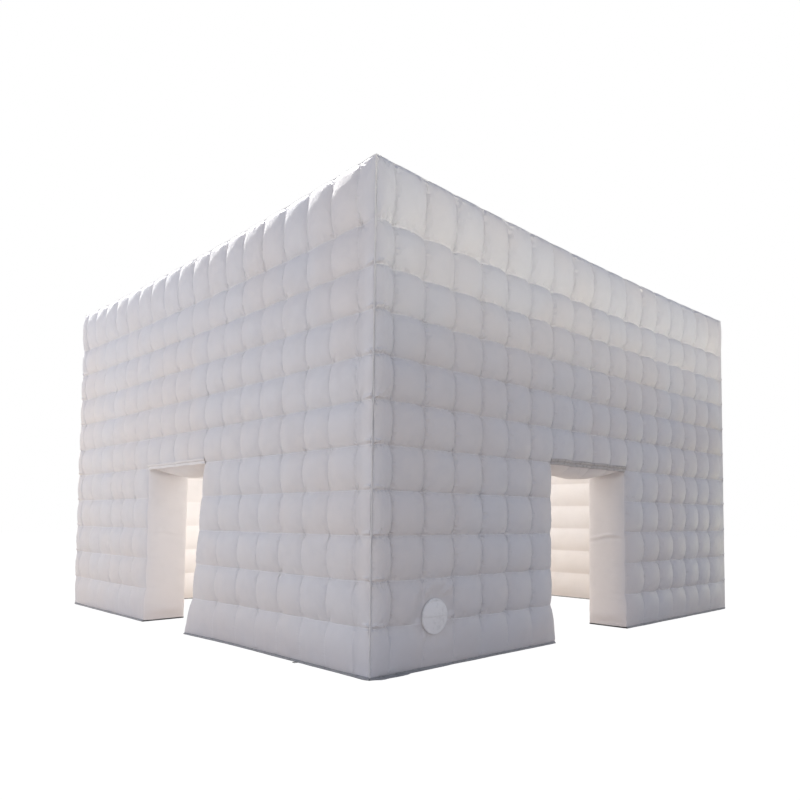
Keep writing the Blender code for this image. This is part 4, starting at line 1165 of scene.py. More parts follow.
def piping_pieces():
    """The cords in the upright corners and round the eaves."""
    line = HALF_PLAN - PIPING_RADIUS
    corners = {"front_left": (-1, -1), "front_right": (1, -1), "back_right": (1, 1), "back_left": (-1, 1)}
    heights = np.linspace(CLOTH_FOOT, CLOTH_TOP, CORD_STEPS)
    for number, (corner, (sx, sy)) in enumerate(corners.items()):
        uneven = wander(heights, 0 * heights, CORD_SEED + number, CORD_WANDER_LENGTH)
        slide = CORD_WANDER * uneven * arc(heights / CLOTH_TOP)
        route = np.stack([sx * line + sx * slide, sy * line - sy * slide, heights], -1)
        cord = tube_object(f"{corner}_corner_cord", sagged(route), PIPING_RADIUS * CORD_SHARE, False)
        dress(cord, "tent", "piping_cord", f"{corner}_corner_piping")
    run = np.linspace(-1, 1, EAVE_CORD_STEPS, endpoint=False)
    loop = [(x * line, -line) for x in run] + [(line, y * line) for y in run]
    loop += [(-x * line, line) for x in run] + [(-line, -y * line) for y in run]
    route = np.array([(x, y, EAVE_HEIGHT - PIPING_RADIUS) for x, y in loop])
    cord = tube_object("eave_cord", sagged(route), PIPING_RADIUS, True)
    dress(cord, "tent", "piping_cord", "eave_piping")


def plate_parts(outlines, half_depth):
    """The points and faces of a flat outline with holes, drawn out to both sides."""
    curve = bpy.data.curves.new("plate", "CURVE")
    curve.dimensions = "2D"
    curve.fill_mode = "BOTH"
    curve.extrude = half_depth
    for outline in outlines:
        spline = curve.splines.new("POLY")
        spline.points.add(len(outline) - 1)
        for point, (x, y) in zip(spline.points, outline):
            point.co = (x, y, 0.0, 1.0)
        spline.use_cyclic_u = True
    item = as_mesh(bpy.data.objects.new("plate", curve))
    points = np.array([v.co[:] for v in item.data.vertices])
    faces = [tuple(p.vertices) for p in item.data.polygons]
    bpy.data.objects.remove(item)
    return points, faces


def joined(name, parts):
    """One mesh object from several lists of points and faces."""
    points, faces, offset = [], [], 0
    for some_points, some_faces in parts:
        points.append(some_points)
        faces += [tuple(i + offset for i in face) for face in some_faces]
        offset += len(some_points)
    return mesh_object(name, new_mesh(name, np.concatenate(points).tolist(), faces))


def circle(x, y, radius, count=20):
    """The points of a circle."""
    return [
        (x + radius * math.cos(math.tau * i / count), y + radius * math.sin(math.tau * i / count))
        for i in range(count)
    ]


def air_holes(start, end, middle, radius):
    """Round holes at every second column, which let the air pass through a web."""
    count = max(1, int((end - start) / (2 * PITCH)))
    gap = (end - start) / count
    return [circle(start + (i + 0.5) * gap, middle, radius) for i in range(count)]


# The webs: clearances, half their thickness, their air holes and the wave that they hang in
WEB_PORT_GAP, WEB_DOOR_GAP, WEB_EDGE_GAP = 0.21, 0.01, 0.004
WEB_STEPS, HALF_WEB = 6, 0.0008
WALL_HOLE_RADIUS, ROOF_HOLE_RADIUS = 0.11, 0.13
WEB_WAVE, WEB_WAVES = 0.006, 5.0

WEB_PANELS = [
    ("front_left", "front", PORT_X + WEB_PORT_GAP, -INNER_FACE, DOOR_LEFT - WEB_DOOR_GAP, 0),
    ("front_right", "front", None, DOOR_RIGHT + WEB_DOOR_GAP, INNER_FACE, 0),
    ("front_header", "front", None, DOOR_LEFT, DOOR_RIGHT, DOOR_ROW_COUNT + 1),
    ("left_rear", "left", None, -INNER_FACE, DOOR_LEFT - WEB_DOOR_GAP, 0),
    ("left_front", "left", None, DOOR_RIGHT + WEB_DOOR_GAP, INNER_FACE, 0),
    ("left_header", "left", None, DOOR_LEFT, DOOR_RIGHT, DOOR_ROW_COUNT + 1),
    ("back", "back", None, -INNER_FACE, INNER_FACE, 0),
    ("right", "right", None, -INNER_FACE, INNER_FACE, 0),
]


def wall_web_piece(name, side, low_start, start, end, first):
    """The level webs of a wall, each with its air holes, cut to the seams that they hold."""
    parts = []
    depth = HALF_PLAN - INNER_FACE
    for number, level in enumerate(ROW_SEAMS[first:]):
        near = low_start if low_start is not None and number == 0 else start
        us = places(COLUMN_MARKS, near, end, WEB_STEPS)
        edge = quilt(side, us, np.array([level])).points[:, 0]
        outer = [(x, y + WEB_EDGE_GAP) for x, y in zip(us, edge[:, 1])]
        outline = outer + [(end, -INNER_FACE), (near, -INNER_FACE)]
        holes = air_holes(near, end, -(HALF_PLAN + INNER_FACE) / 2, WALL_HOLE_RADIUS)
        points, faces = plate_parts([outline] + holes, HALF_WEB)
        free = 1 - np.abs(2 * (-points[:, 1] - INNER_FACE) / depth - 1)
        points[:, 2] += level + WEB_WAVE * np.sin(points[:, 0] * WEB_WAVES) * free
        parts.append((to_world(side, points), faces))
    dress(joined(f"{name}_web_cloth", parts), "tent", "web_cloth", f"{name}_webs")


def roof_web_piece():
    """The upright webs between the ceiling and the roof."""
    parts = []
    low, high = CEILING_HEIGHT + WEB_EDGE_GAP, EAVE_HEIGHT - PIPING_RADIUS - WEB_EDGE_GAP
    outline = [(-INNER_FACE, low), (INNER_FACE, low), (INNER_FACE, high), (-INNER_FACE, high)]
    holes = air_holes(-INNER_FACE, INNER_FACE, (low + high) / 2, ROOF_HOLE_RADIUS)
    for level in COLUMN_SEAMS:
        points, faces = plate_parts([outline] + holes, HALF_WEB)
        upright = np.stack([points[:, 0], level + points[:, 2], points[:, 1]], -1)
        parts.append((sagged(upright), faces))
    dress(joined("roof_web_cloth", parts), "tent", "web_cloth", "roof_webs")


def spun(name, profile, centre, steps=72):
    """A ring turned from (radius, outward) points about an axis out of the front wall."""
    count = len(profile)
    points, faces = [], []
    for i in range(steps):
        angle = math.tau * i / steps
        across, up = math.cos(angle), math.sin(angle)
        points += [(centre[0] + r * across, centre[1] - out, centre[2] + r * up) for r, out in profile]
        a, b = i * count, (i + 1) % steps * count
        faces += [(a + j, b + j, b + (j + 1) % count, a + (j + 1) % count) for j in range(count)]
    mesh = new_mesh(name, points, faces)
    reworked(mesh, lambda bm: bmesh.ops.recalc_face_normals(bm, faces=bm.faces))
    mesh.shade_smooth()
    mesh.set_sharp_from_angle(angle=RING_CREASE)
    return mesh_object(name, mesh)


# The collar: its tube, wall and rim, with the softness of its front edges, back edges and fillet
TUBE_RADIUS, TUBE_WALL, RIM_THICKNESS = 0.150, 0.008, 0.006
FRONT_SOFT, BACK_SOFT, COLLAR_FILLET = 0.002, 0.001, 0.003

# The sleeve: its folds and what it hangs clear of its solid
SLEEVE_STEPS, SLEEVE_SLICES, SLEEVE_GAP, SLEEVE_THICKNESS = 24, 72, 0.005, 0.0015
SLEEVE_FOLD, SLEEVE_FOLDS, SLEEVE_TWIST = 0.0025, 9, 4
SLEEVE_WANDER, SLEEVE_WANDER_SHARES, SLEEVE_SEED, SLEEVE_LENGTH = 0.0015, (0.2, 0.5), 7, 0.2


def collar_piece():
    """The port's collar: a flat rim on the cloth and a tube through the wall."""
    face = -COLLAR_LOW.y - HALF_PLAN
    inside = -COLLAR_HIGH.y - HALF_PLAN
    seat = face - RIM_THICKNESS
    bore = TUBE_RADIUS - TUBE_WALL
    profile = [
        (COLLAR_RADIUS - FRONT_SOFT, face), (COLLAR_RADIUS, face - FRONT_SOFT),
        (COLLAR_RADIUS, seat + BACK_SOFT), (COLLAR_RADIUS - BACK_SOFT, seat),
        (TUBE_RADIUS + COLLAR_FILLET, seat), (TUBE_RADIUS, seat - COLLAR_FILLET),
        (TUBE_RADIUS, inside + BACK_SOFT), (TUBE_RADIUS - BACK_SOFT, inside),
        (bore + BACK_SOFT, inside), (bore, inside + BACK_SOFT),
        (bore, face - FRONT_SOFT), (bore + FRONT_SOFT, face),
    ]
    collar = spun("port_collar_ring", profile, (PORT_X, -HALF_PLAN, PORT_Z))
    dress(collar, "tent", "port_plastic", "port_collar")


def sleeve_piece():
    """The cloth tube that leads the air in from the collar."""
    low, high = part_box("inflation_sleeve")
    length, outer = high.y - low.y, (high.x - low.x) / 2
    a, b = np.meshgrid(
        np.linspace(0, 1, SLEEVE_STEPS + 1), np.linspace(0, math.tau, SLEEVE_SLICES + 1), indexing="ij"
    )
    share_round, share_along = SLEEVE_WANDER_SHARES
    ripple = SLEEVE_FOLD * np.sin(b * SLEEVE_FOLDS + SLEEVE_TWIST * a) * np.sin(math.pi * a)
    ripple += SLEEVE_WANDER * wander(b * share_round, a * share_along, SLEEVE_SEED, SLEEVE_LENGTH)
    radius = outer - SLEEVE_GAP + ripple
    points = np.stack([PORT_X + radius * np.cos(b), low.y + length * a, PORT_Z + radius * np.sin(b)], -1)
    sleeve = grid_object("inflation_sleeve_cloth", points, None, True)
    thicken(sleeve, SLEEVE_THICKNESS)
    dress(sleeve, "tent", "sleeve_cloth", "inflation_sleeve")


def disc_grid(name, radius, cut_up, surface, slices=48, rings=14):
    """A round sheet at the port, cut straight at its top, whose outward place is surface(x, z, share)."""
    rows = []
    for i in range(rings + 1):
        reach = radius * math.sin(0.5 * math.pi * i / rings) if i < rings else radius
        ring = []
        for j in range(slices):
            angle = math.tau * j / slices
            x, z = reach * math.cos(angle), min(reach * math.sin(angle), cut_up)
            ring.append((PORT_X + x, surface(x, z, reach / radius), PORT_Z + z))
        rows.append(ring)
    points = [rows[0][0]] + [p for ring in rows[1:] for p in ring]
    faces = [(0, 1 + (j + 1) % slices, 1 + j) for j in range(slices)]
    for i in range(rings - 1):
        a, b = 1 + i * slices, 1 + (i + 1) * slices
        faces += [(a + j, a + (j + 1) % slices, b + (j + 1) % slices, b + j) for j in range(slices)]
    mesh = new_mesh(name, points, faces)
    mesh.shade_smooth()
    return mesh_object(name, mesh)


# The cover: its dome, the lap across its middle, and the cord bound round its rim
COVER_DOME, COVER_BACK_GAP, COVER_THICKNESS, COVER_INSET = 0.015, 0.0036, 0.003, 0.004
COVER_LAP, LAP_WAVE, LAP_WAVES, LAP_STEP = 0.0035, 0.004, 25, (-0.004, 0.003)
COVER_FREE = (0.004, 0.060)
BINDING_RADIUS, BINDING_OUT, BINDING_STEPS = 0.0038, 0.0051, 96
LAP_CORD_RADIUS, LAP_CORD_OUT, LAP_CORD_INSET, LAP_CORD_STEPS = 0.0016, 0.002, 0.012, 60
LAP_CORD_AT, LAP_CORD_UP = 0.003, 0.002


def cover_piece():
    """The port's cover: a quilted disc in two laps, bound round its rim."""
    low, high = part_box("port_cover")
    radius = (high.x - low.x) / 2
    cut_up = high.z - PORT_Z
    inner = radius - COVER_INSET

    def surface(x, z, share):
        dome = COVER_DOME * (1 - share ** 2)
        lap = COVER_LAP * float(smooth(z + LAP_WAVE * math.sin(LAP_WAVES * x), *LAP_STEP))
        free = float(smooth(cut_up - z, *COVER_FREE))
        return high.y - COVER_BACK_GAP - (dome + lap) * free

    cover = disc_grid("port_cover_disc", inner, cut_up, surface)
    thicken(cover, COVER_THICKNESS)
    dress(cover, "port_cover", "port_plastic", "port_cover")
    rim = [
        (PORT_X + x, high.y - BINDING_OUT, PORT_Z + min(z, cut_up - COVER_INSET))
        for x, z in circle(0.0, 0.0, inner, BINDING_STEPS)
    ]
    binding = tube_object("port_cover_binding", np.array(rim), BINDING_RADIUS, True)
    dress(binding, "port_cover", "port_plastic")
    lap_line = [
        (PORT_X + x, surface(x, LAP_CORD_AT, abs(x) / radius) - LAP_CORD_OUT,
         PORT_Z + LAP_CORD_UP + LAP_WAVE * math.sin(LAP_WAVES * x))
        for x in np.linspace(-radius + LAP_CORD_INSET, radius - LAP_CORD_INSET, LAP_CORD_STEPS)
    ]
    seam = tube_object("port_cover_seam", np.array(lap_line), LAP_CORD_RADIUS, False)
    dress(seam, "port_cover", "sleeve_cloth", finish="piping_cord")


FLAP_WAVE, FLAP_WAVES, FLAP_INSET, FLAP_THICKNESS, FLAP_AREA_SHARE = 0.0008, 40, 0.001, 0.0018, 0.96


def check_flap_piece():
    """The thin flap at the sleeve's inner end."""
    low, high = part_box("check_flap")
    radius = (high.x - low.x) / 2
    middle = (low.y + high.y) / 2

    def surface(x, z, share):
        return middle + FLAP_WAVE * math.sin(FLAP_WAVES * x) * share

    flap = disc_grid("check_flap_cloth", radius - FLAP_INSET, high.z - PORT_Z, surface)
    thicken(flap, FLAP_THICKNESS)
    dress(flap, "check_flap", "sleeve_cloth", "check_flap")


def small_block(low, high, soft):
    """The points and faces of a box with bevelled edges."""
    low, high = Vector(low), Vector(high)
    bm = bmesh.new()
    bmesh.ops.create_cube(bm, size=1.0)
    bmesh.ops.scale(bm, vec=high - low, verts=bm.verts)
    bmesh.ops.translate(bm, vec=(low + high) / 2, verts=bm.verts)
    bmesh.ops.bevel(bm, geom=bm.edges[:], offset=soft, segments=2, affect="EDGES", profile=0.7)
    bm.verts.index_update()
    points = np.array([v.co[:] for v in bm.verts])
    faces = [tuple(v.index for v in f.verts) for f in bm.faces]
    bm.free()
    return points, faces


def local_box(side, node):
    """A node's corners in the front wall's frame."""
    corners = turned(side, np.array([tuple(c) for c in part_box(node)]), back=True)
    return corners.min(0), corners.max(0)


# A zip: its tape's raised coil and waves, and its teeth
ZIP_SIDES = ("back", "right")
TAPE_GRID, TAPE_OUT, TAPE_THICKNESS = (60, 12), 0.0015, 0.0014
COIL_RISE, COIL_HALF, TAPE_WAVE, TAPE_WAVES, TAPE_FLAT_HALF = 0.0012, 0.006, 0.0006, 90, 0.012
TOOTH_COUNT, TOOTH_SHARE, TOOTH_HALF, TOOTH_SHIFT, TOOTH_SOFT = 90, 0.36, 0.0028, 0.0022, 0.0003
TOOTH_OUT, TOOTH_BACK = 0.0004, 0.0022

# A slider's body, top plate, bridge and pull: half width, how far its front and its back stand
# out, how far it reaches below and above the zip's middle, and its bevel; None is the solid's own
SLIDER_PARTS = (
    (None, 0.0045, 0.0, 0.012, 0.012, 0.0012),
    (None, 0.0085, 0.0050, 0.009, 0.009, 0.0012),
    (0.0025, 0.0095, 0.0040, 0.005, 0.006, 0.0009),
    (0.0050, 0.0128, 0.0103, None, 0.007, 0.0010),
)
SLIDER_WIDTH_SHARES = (1.0, 0.8, 1.0, 1.0)


def zip_pieces(side):
    """A deflation zip: its tape, two rows of teeth, and the slider with its pull."""
    low, high = local_box(side, f"{side}_zip_tape")
    middle = (low[2] + high[2]) / 2
    columns, rows = TAPE_GRID
    u, v = np.meshgrid(
        np.linspace(low[0], high[0], columns + 1), np.linspace(low[2], high[2], rows + 1), indexing="ij"
    )
    off = np.abs(v - middle)
    y = high[1] - TAPE_OUT - COIL_RISE * (off < COIL_HALF)
    y = y - TAPE_WAVE * np.sin(u * TAPE_WAVES) * (off > TAPE_FLAT_HALF)
    tape = grid_object(f"{side}_zip_cloth", turned(side, np.stack([u, y, v], -1)), None, False)
    thicken(tape, TAPE_THICKNESS)
    dress(tape, "tent", "zip_tape", f"{side}_zip_tape")
    teeth = []
    gap = (high[0] - low[0]) / TOOTH_COUNT
    for i in range(TOOTH_COUNT):
        at = low[0] + (i + 0.5) * gap
        level = middle + (TOOTH_SHIFT if i % 2 else -TOOTH_SHIFT)
        start = (at - gap * TOOTH_SHARE, low[1] + TOOTH_OUT, level - TOOTH_HALF)
        end = (at + gap * TOOTH_SHARE, low[1] + TOOTH_BACK, level + TOOTH_HALF)
        teeth.append(small_block(start, end, TOOTH_SOFT))
    row = joined(f"{side}_zip_teeth", [(turned(side, points), faces) for points, faces in teeth])
    dress(row, "tent", "zip_tape")
    slider_piece(side, middle)


def slider_piece(side, middle):
    """A zip's slider: a body, a plate over it, a bridge and a pull that hangs down."""
    low, high = local_box(side, f"{side}_zip_slider")
    centre = (low[0] + high[0]) / 2
    blocks = []
    for (half, front, back, below, above, soft), share in zip(SLIDER_PARTS, SLIDER_WIDTH_SHARES):
        half = (half or (high[0] - low[0]) / 2) * share
        foot = low[2] if below is None else middle - below
        start, end = (centre - half, high[1] - front, foot), (centre + half, high[1] - back, middle + above)
        blocks.append(small_block(start, end, soft))
    slider = joined(f"{side}_zip_slider_body", [(turned(side, points), faces) for points, faces in blocks])
    dress(slider, f"{side}_zip_slider", "slider_metal", f"{side}_zip_slider")


def rounded_outline(half, near, far, soft, steps=4):
    """A rectangle with rounded corners, from near to far and as wide as twice its half."""
    corners = (
        (half - soft, near + soft, -0.25), (half - soft, far - soft, 0.0),
        (-half + soft, far - soft, 0.25), (-half + soft, near + soft, 0.5),
    )
    outline = []
    for x, y, start in corners:
        for i in range(steps + 1):
            angle = math.tau * (start + 0.25 * i / steps)
            outline.append((x + soft * math.cos(angle), y + soft * math.sin(angle)))
    return outline


# An anchor loop: its corners, the slot for a peg, its two laps and its two rows of stitches
LOOP_SOFT, SLOT_HALF, SLOT_SOFT, SLOT_FAR_GAP, SLOT_NEAR_GAP = 0.006, 0.015, 0.005, 0.012, 0.034
LAP_SHARES, LAP_HALF_SHARE = (0.3, 0.7), 0.19
STITCH_ROWS, STITCHES, STITCH_FIRST, STITCH_STEP, STITCH_DEPTH_SHARE = (-0.019, 0.019), 9, 0.006, 0.005, 0.13
THREAD_HALF_WIDTH, THREAD_HALF_LENGTH, THREAD_LOW, THREAD_HIGH = 0.0006, 0.0017, 0.0002, 0.0005
THREAD_SOFT = 0.0002


def anchor_piece(side):
    """A webbing loop laid double, with a slot for a peg and rows of stitching."""
    node = f"{side}_anchor_loop"
    low, high = local_box(side, node)
    half = (high[0] - low[0]) / 2
    centre = (low[0] + high[0]) / 2
    reach, tall = high[1] - low[1], high[2] - low[2]
    outline = rounded_outline(half, 0.0, reach, LOOP_SOFT)
    slot = rounded_outline(SLOT_HALF, reach - SLOT_NEAR_GAP, reach - SLOT_FAR_GAP, SLOT_SOFT)
    parts = []
    for lift in LAP_SHARES:
        points, faces = plate_parts([outline, slot], tall * LAP_HALF_SHARE)
        up = low[2] + tall * lift + points[:, 2]
        lap = np.stack([centre + points[:, 0], high[1] - points[:, 1], up], -1)
        parts.append((turned(side, lap), faces))
    for across in STITCH_ROWS:
        for i in range(STITCHES):
            out = STITCH_FIRST + i * STITCH_STEP
            parts.append(stitch(side, centre + across, high[1] - out, high[2] - tall * STITCH_DEPTH_SHARE))
    dress(joined(f"{side}_anchor_webbing", parts), node, "webbing", node)


def stitch(side, x, y, z):
    """One stitch of thread."""
    low = (x - THREAD_HALF_WIDTH, y - THREAD_HALF_LENGTH, z - THREAD_LOW)
    high = (x + THREAD_HALF_WIDTH, y + THREAD_HALF_LENGTH, z + THREAD_HIGH)
    points, faces = small_block(low, high, THREAD_SOFT)
    return turned(side, points), faces


CAMERA_PLACE = Vector((-8.276, -9.148, 1.515))
CAMERA_FORWARD = Vector((0.70720867, 0.70463467, 0.05784364))
CAMERA_UP = Vector((-0.04644346, -0.03533723, 0.99829569))
SENSOR_WIDTH, CLIP_END = 36.0, 200.0
SUN_FROM, SUN_COLOUR, SUN_ANGLE = (0.55, 4.6, 7.0), (1.0, 0.96, 0.77), math.radians(0.8)
EAVE_SUN_FROM, EAVE_SUN_COLOUR, EAVE_SUN_ANGLE = (1.3, 5.0, 8.2), (1.0, 0.98, 0.95), math.radians(0.5)
WHITE, FLOOR_GREY = (1.0, 1.0, 1.0, 1.0), (0.05, 0.05, 0.05, 1.0)
ZENITH_SHARE = 0.85

# Each soft light's name, place, aim, colour, width, height and spread in degrees; its power is in
# the sidebar under the same name
SOFT_LIGHTS = [
    ("front_soft", (0.0, -9.0, 0.3), (0.0, -4.0, 6.2), (1.0, 0.97, 0.84), 10.0, 0.8, 40),
    ("left_soft", (-14.0, 6.0, 6.0), (-4.0, 2.0, 2.5), (0.90, 0.92, 1.0), 6.0, 4.0, 180),
    ("left_end", (-9.0, 7.5, 2.0), (-4.0, 3.2, 2.6), (1.0, 0.80, 0.50), 3.0, 3.0, 100),
    ("right_soft", (9.0, -7.0, 0.6), (3.6, -4.0, 1.6), (1.0, 0.98, 0.60), 2.0, 2.0, 120),
    ("key_soft", (-16.0, -14.0, 7.0), (-2.0, -4.0, 2.5), (1.0, 1.0, 1.0), 8.0, 4.0, 180),
    ("room_light", (0.0, 0.0, CEILING_HEIGHT - 0.2), (0, 0, 0), (1.0, 0.97, 0.955), 5.0, 5.0, 180),
    ("room_fill", (0.6, 0.6, 0.15), (0.6, 0.6, 4.0), (1.0, 0.96, 0.94), 4.0, 4.0, 180),
    ("back_glow", (-2.1, 2.1, 1.2), (-2.75, 3.4, 0.9), (1.0, 0.97, 0.94), 1.2, 1.6, 180),
    ("jamb_glow", (-4.9, -1.0, 1.6), (-3.7, 1.1, 1.4), (1.0, 0.96, 0.95), 0.8, 1.8, 180),
]


def camera():
    """The photograph's camera."""
    stage = bpy.context.scene.tent_stage
    data = bpy.data.cameras.new("camera")
    data.lens = stage.lens
    data.sensor_width = SENSOR_WIDTH
    data.shift_x = stage.shift_x
    data.shift_y = stage.shift_y
    data.clip_end = CLIP_END
    item = bpy.data.objects.new("camera", data)
    right = CAMERA_FORWARD.cross(CAMERA_UP).normalized()
    turn = Matrix((right, CAMERA_UP, -CAMERA_FORWARD)).transposed()
    item.matrix_world = Matrix.Translation(CAMERA_PLACE) @ turn.to_4x4()
    bpy.context.scene.collection.objects.link(item)
    bpy.context.scene.camera = item


def lamp(name, kind, place, aim, energy, colour, **fields):
    """A light at a place, aimed at a point."""
    data = bpy.data.lights.new(name, kind)
    data.energy = energy
    data.color = colour
    for field, value in fields.items():
        setattr(data, field, value)
    item = bpy.data.objects.new(name, data)
    item.location = place
    item.rotation_euler = (Vector(aim) - Vector(place)).to_track_quat("-Z", "Y").to_euler()
    bpy.context.scene.collection.objects.link(item)
    return item


def seen_and_lit(tree, output_kind, seen, lit):
    """Show one shader to the camera, and light the scene with the other."""
    output, mix = tree.nodes.new(output_kind), tree.nodes.new("ShaderNodeMixShader")
    path = tree.nodes.new("ShaderNodeLightPath")
    for socket, number in ((path.outputs["Is Camera Ray"], 0), (lit, 1), (seen, 2)):
        tree.links.new(socket, mix.inputs[number])
    tree.links.new(mix.outputs[0], output.inputs[0])


def shader(tree, kind, **inputs):
    """The output of a new shader node with its inputs set."""
    node = tree.nodes.new(kind)
    for name, value in inputs.items():
        node.inputs[name].default_value = value
    return node.outputs[0]


def sky():
    """A soft sky that is pale low down and bluer overhead, on a white background."""
    stage = bpy.context.scene.tent_stage
    world = bpy.data.worlds.new("studio")
    bpy.context.scene.world = world
    world.use_nodes = True
    tree = world.node_tree
    tree.nodes.clear()
    coordinates, split = tree.nodes.new("ShaderNodeTexCoord"), tree.nodes.new("ShaderNodeSeparateXYZ")
    ramp = tree.nodes.new("ShaderNodeValToRGB")
    tree.links.new(coordinates.outputs["Generated"], split.inputs[0])
    tree.links.new(split.outputs[2], ramp.inputs[0])
    low, high = ramp.color_ramp.elements
    low.position, low.color = 0.0, (*stage.horizon, 1.0)
    high.position, high.color = ZENITH_SHARE, (*stage.zenith, 1.0)
    light = shader(tree, "ShaderNodeBackground", Strength=stage.sky_strength)
    tree.links.new(ramp.outputs[0], light.node.inputs[0])
    plain = shader(tree, "ShaderNodeBackground", Color=WHITE, Strength=1.0)
    seen_and_lit(tree, "ShaderNodeOutputWorld", plain, light)


def floor():
    """A wide pale floor that shows white and gives a modest, warm bounce."""
    stage = bpy.context.scene.tent_stage
    half = stage.floor_size / 2
    corners = [(-half, -half, 0), (half, -half, 0), (half, half, 0), (-half, half, 0)]
    item = mesh_object("floor", new_mesh("floor", corners, [(0, 1, 2, 3)]))
    finish = bpy.data.materials.new("floor")
    finish.use_nodes = True
    tree = finish.node_tree
    tree.nodes.clear()
    shown = tree.nodes.new("ShaderNodeAddShader")
    tree.links.new(shader(tree, "ShaderNodeBsdfDiffuse", Color=FLOOR_GREY), shown.inputs[0])
    tree.links.new(shader(tree, "ShaderNodeEmission", Strength=stage.floor_glow), shown.inputs[1])
    bounce = shader(tree, "ShaderNodeBsdfDiffuse", Color=(*stage.floor_bounce, 1.0))
    seen_and_lit(tree, "ShaderNodeOutputMaterial", shown.outputs[0], bounce)
    item.data.materials.append(finish)


def soft_light(name, place, aim, colour, wide, tall, spread):
    """A soft rectangular light that the camera doesn't see."""
    energy = getattr(bpy.context.scene.tent_stage, name)
    item = lamp(name, "AREA", place, aim, energy, colour, shape="RECTANGLE", size=wide, size_y=tall,
                spread=math.radians(spread))
    item.visible_camera = False
    return item


def light_only(light, name, start, end):
    """Let a light fall only on the pieces whose names start and end as given."""
    lit = bpy.data.collections.new(name)
    for item in bpy.data.objects:
        if item.name.startswith(start) and item.name.endswith(end):
            lit.objects.link(item)
    light.light_linking.receiver_collection = lit


def lights():
    """Two suns, one of them for the left eave alone, and the soft lights outside and in the room."""
    stage = bpy.context.scene.tent_stage
    lamp("sun", "SUN", SUN_FROM, (0, 0, 0), stage.sun, SUN_COLOUR, angle=SUN_ANGLE)
    eave = lamp("eave_sun", "SUN", EAVE_SUN_FROM, (0, 0, 0), stage.eave_sun, EAVE_SUN_COLOUR,
                angle=EAVE_SUN_ANGLE)
    light_only(eave, "sunlit_eave", "left_", "_outer_cloth")
    made = {settings[0]: soft_light(*settings) for settings in SOFT_LIGHTS}
    light_only(made["jamb_glow"], "left_doorway", "left_rear_jamb", "_cloth")


def length(name, description, default):
    """A length that the sidebar shows."""
    return FloatProperty(name=name, description=description, default=default, unit="LENGTH")


def amount(name, description, default):
    """A plain amount that the sidebar shows, such as a power or a share."""
    return FloatProperty(name=name, description=description, default=default)


def whole(name, description, default, least=1):
    """A whole number that the sidebar shows."""
    return IntProperty(name=name, description=description, default=default, min=least)


class QuiltSizes(bpy.types.PropertyGroup):
    """Sizes of the quilting and of the cloth's slack."""

    cell_steps: whole("Cell steps", "Grid steps across one cell", 20, 4)
    roof_steps: whole("Roof steps", "Grid steps across one roof cell", 9, 4)
    channel_steps: whole("Channel steps", "Grid steps up an inner channel", 10, 4)
    channel_grid: length("Channel grid", "Grid step along an inner wall", 0.030)
    column_swell: length("Column swell", "Rise of an upright seam between two rows", 0.050)
    row_swell: length("Row swell", "Rise of a level seam between two columns", 0.050)
    base_swell: length("Base swell", "Rise of the lowest row", 0.056)
    roof_swell: length("Roof swell", "Rise of a roof seam", 0.040)
    channel_swell: length("Channel swell", "Rise of a channel of the room's walls", 0.045)
    jamb_swell: length("Jamb swell", "Rise of a doorway's sides", 0.035)
    lintel_sag: length("Lintel sag", "Sag of a doorway's underside", 0.150)
    eave_sag: length("Eave sag", "Sag of the eaves between corners", 0.062)
    corner_lift: length("Corner lift", "Rise of the eaves at the corners", 0.019)
    pucker_depth: length("Pucker depth", "Depth of the creases at the cells' corners", 0.015)
    wander_depth: length("Wander", "Slow unevenness of the walls", 0.008)
    fullness: amount("Fullness", "Share of spare cloth sewn into a cell", 0.03)
    pressure: amount("Pressure", "Air pressure in the simulated patch", 2.6)
    bending: amount("Bending", "Bending stiffness of the cloth", 0.03)
    frames: whole("Frames", "Frames that the patch takes to settle", 30)
    seed: whole("Seed", "Seed of the uneven cloth", 11)


def colour_property(name, description, colour):
    """A colour that the sidebar shows."""
    return FloatVectorProperty(name=name, description=description, subtype="COLOR", size=3, min=0.0, max=1.0,
                               default=colour)


class FinishColours(bpy.types.PropertyGroup):
    """Colours of the tent's finishes."""

    outer: colour_property("Outer cloth", "Colour of the quilted cloth", (0.70, 0.70, 0.72))
    inner: colour_property("Inner cloth", "Colour of the room's cloth", (0.79, 0.78, 0.775))
    jamb: colour_property("Jamb cloth", "Colour of the doorways' cloth", (0.79, 0.78, 0.785))
    base: colour_property("Base cloth", "Colour of the ground strips", (0.40, 0.40, 0.405))
    web: colour_property("Web cloth", "Colour of the webs", (0.80, 0.80, 0.80))
    piping: colour_property("Piping", "Colour of the seam cords", (0.80, 0.795, 0.79))
    hem: colour_property("Hem tape", "Colour of the lintel's tape", (0.58, 0.56, 0.55))
    port: colour_property("Port", "Colour of the port's plastic", (0.88, 0.88, 0.88))
    sleeve: colour_property("Sleeve", "Colour of the air sleeve", (0.60, 0.60, 0.62))
    zip_tape: colour_property("Zip tape", "Colour of the zips' tape", (0.12, 0.12, 0.13))
    metal: colour_property("Slider metal", "Colour of the zips' sliders", (0.55, 0.55, 0.56))
    webbing: colour_property("Webbing", "Colour of the anchor loops", (0.05, 0.05, 0.055))


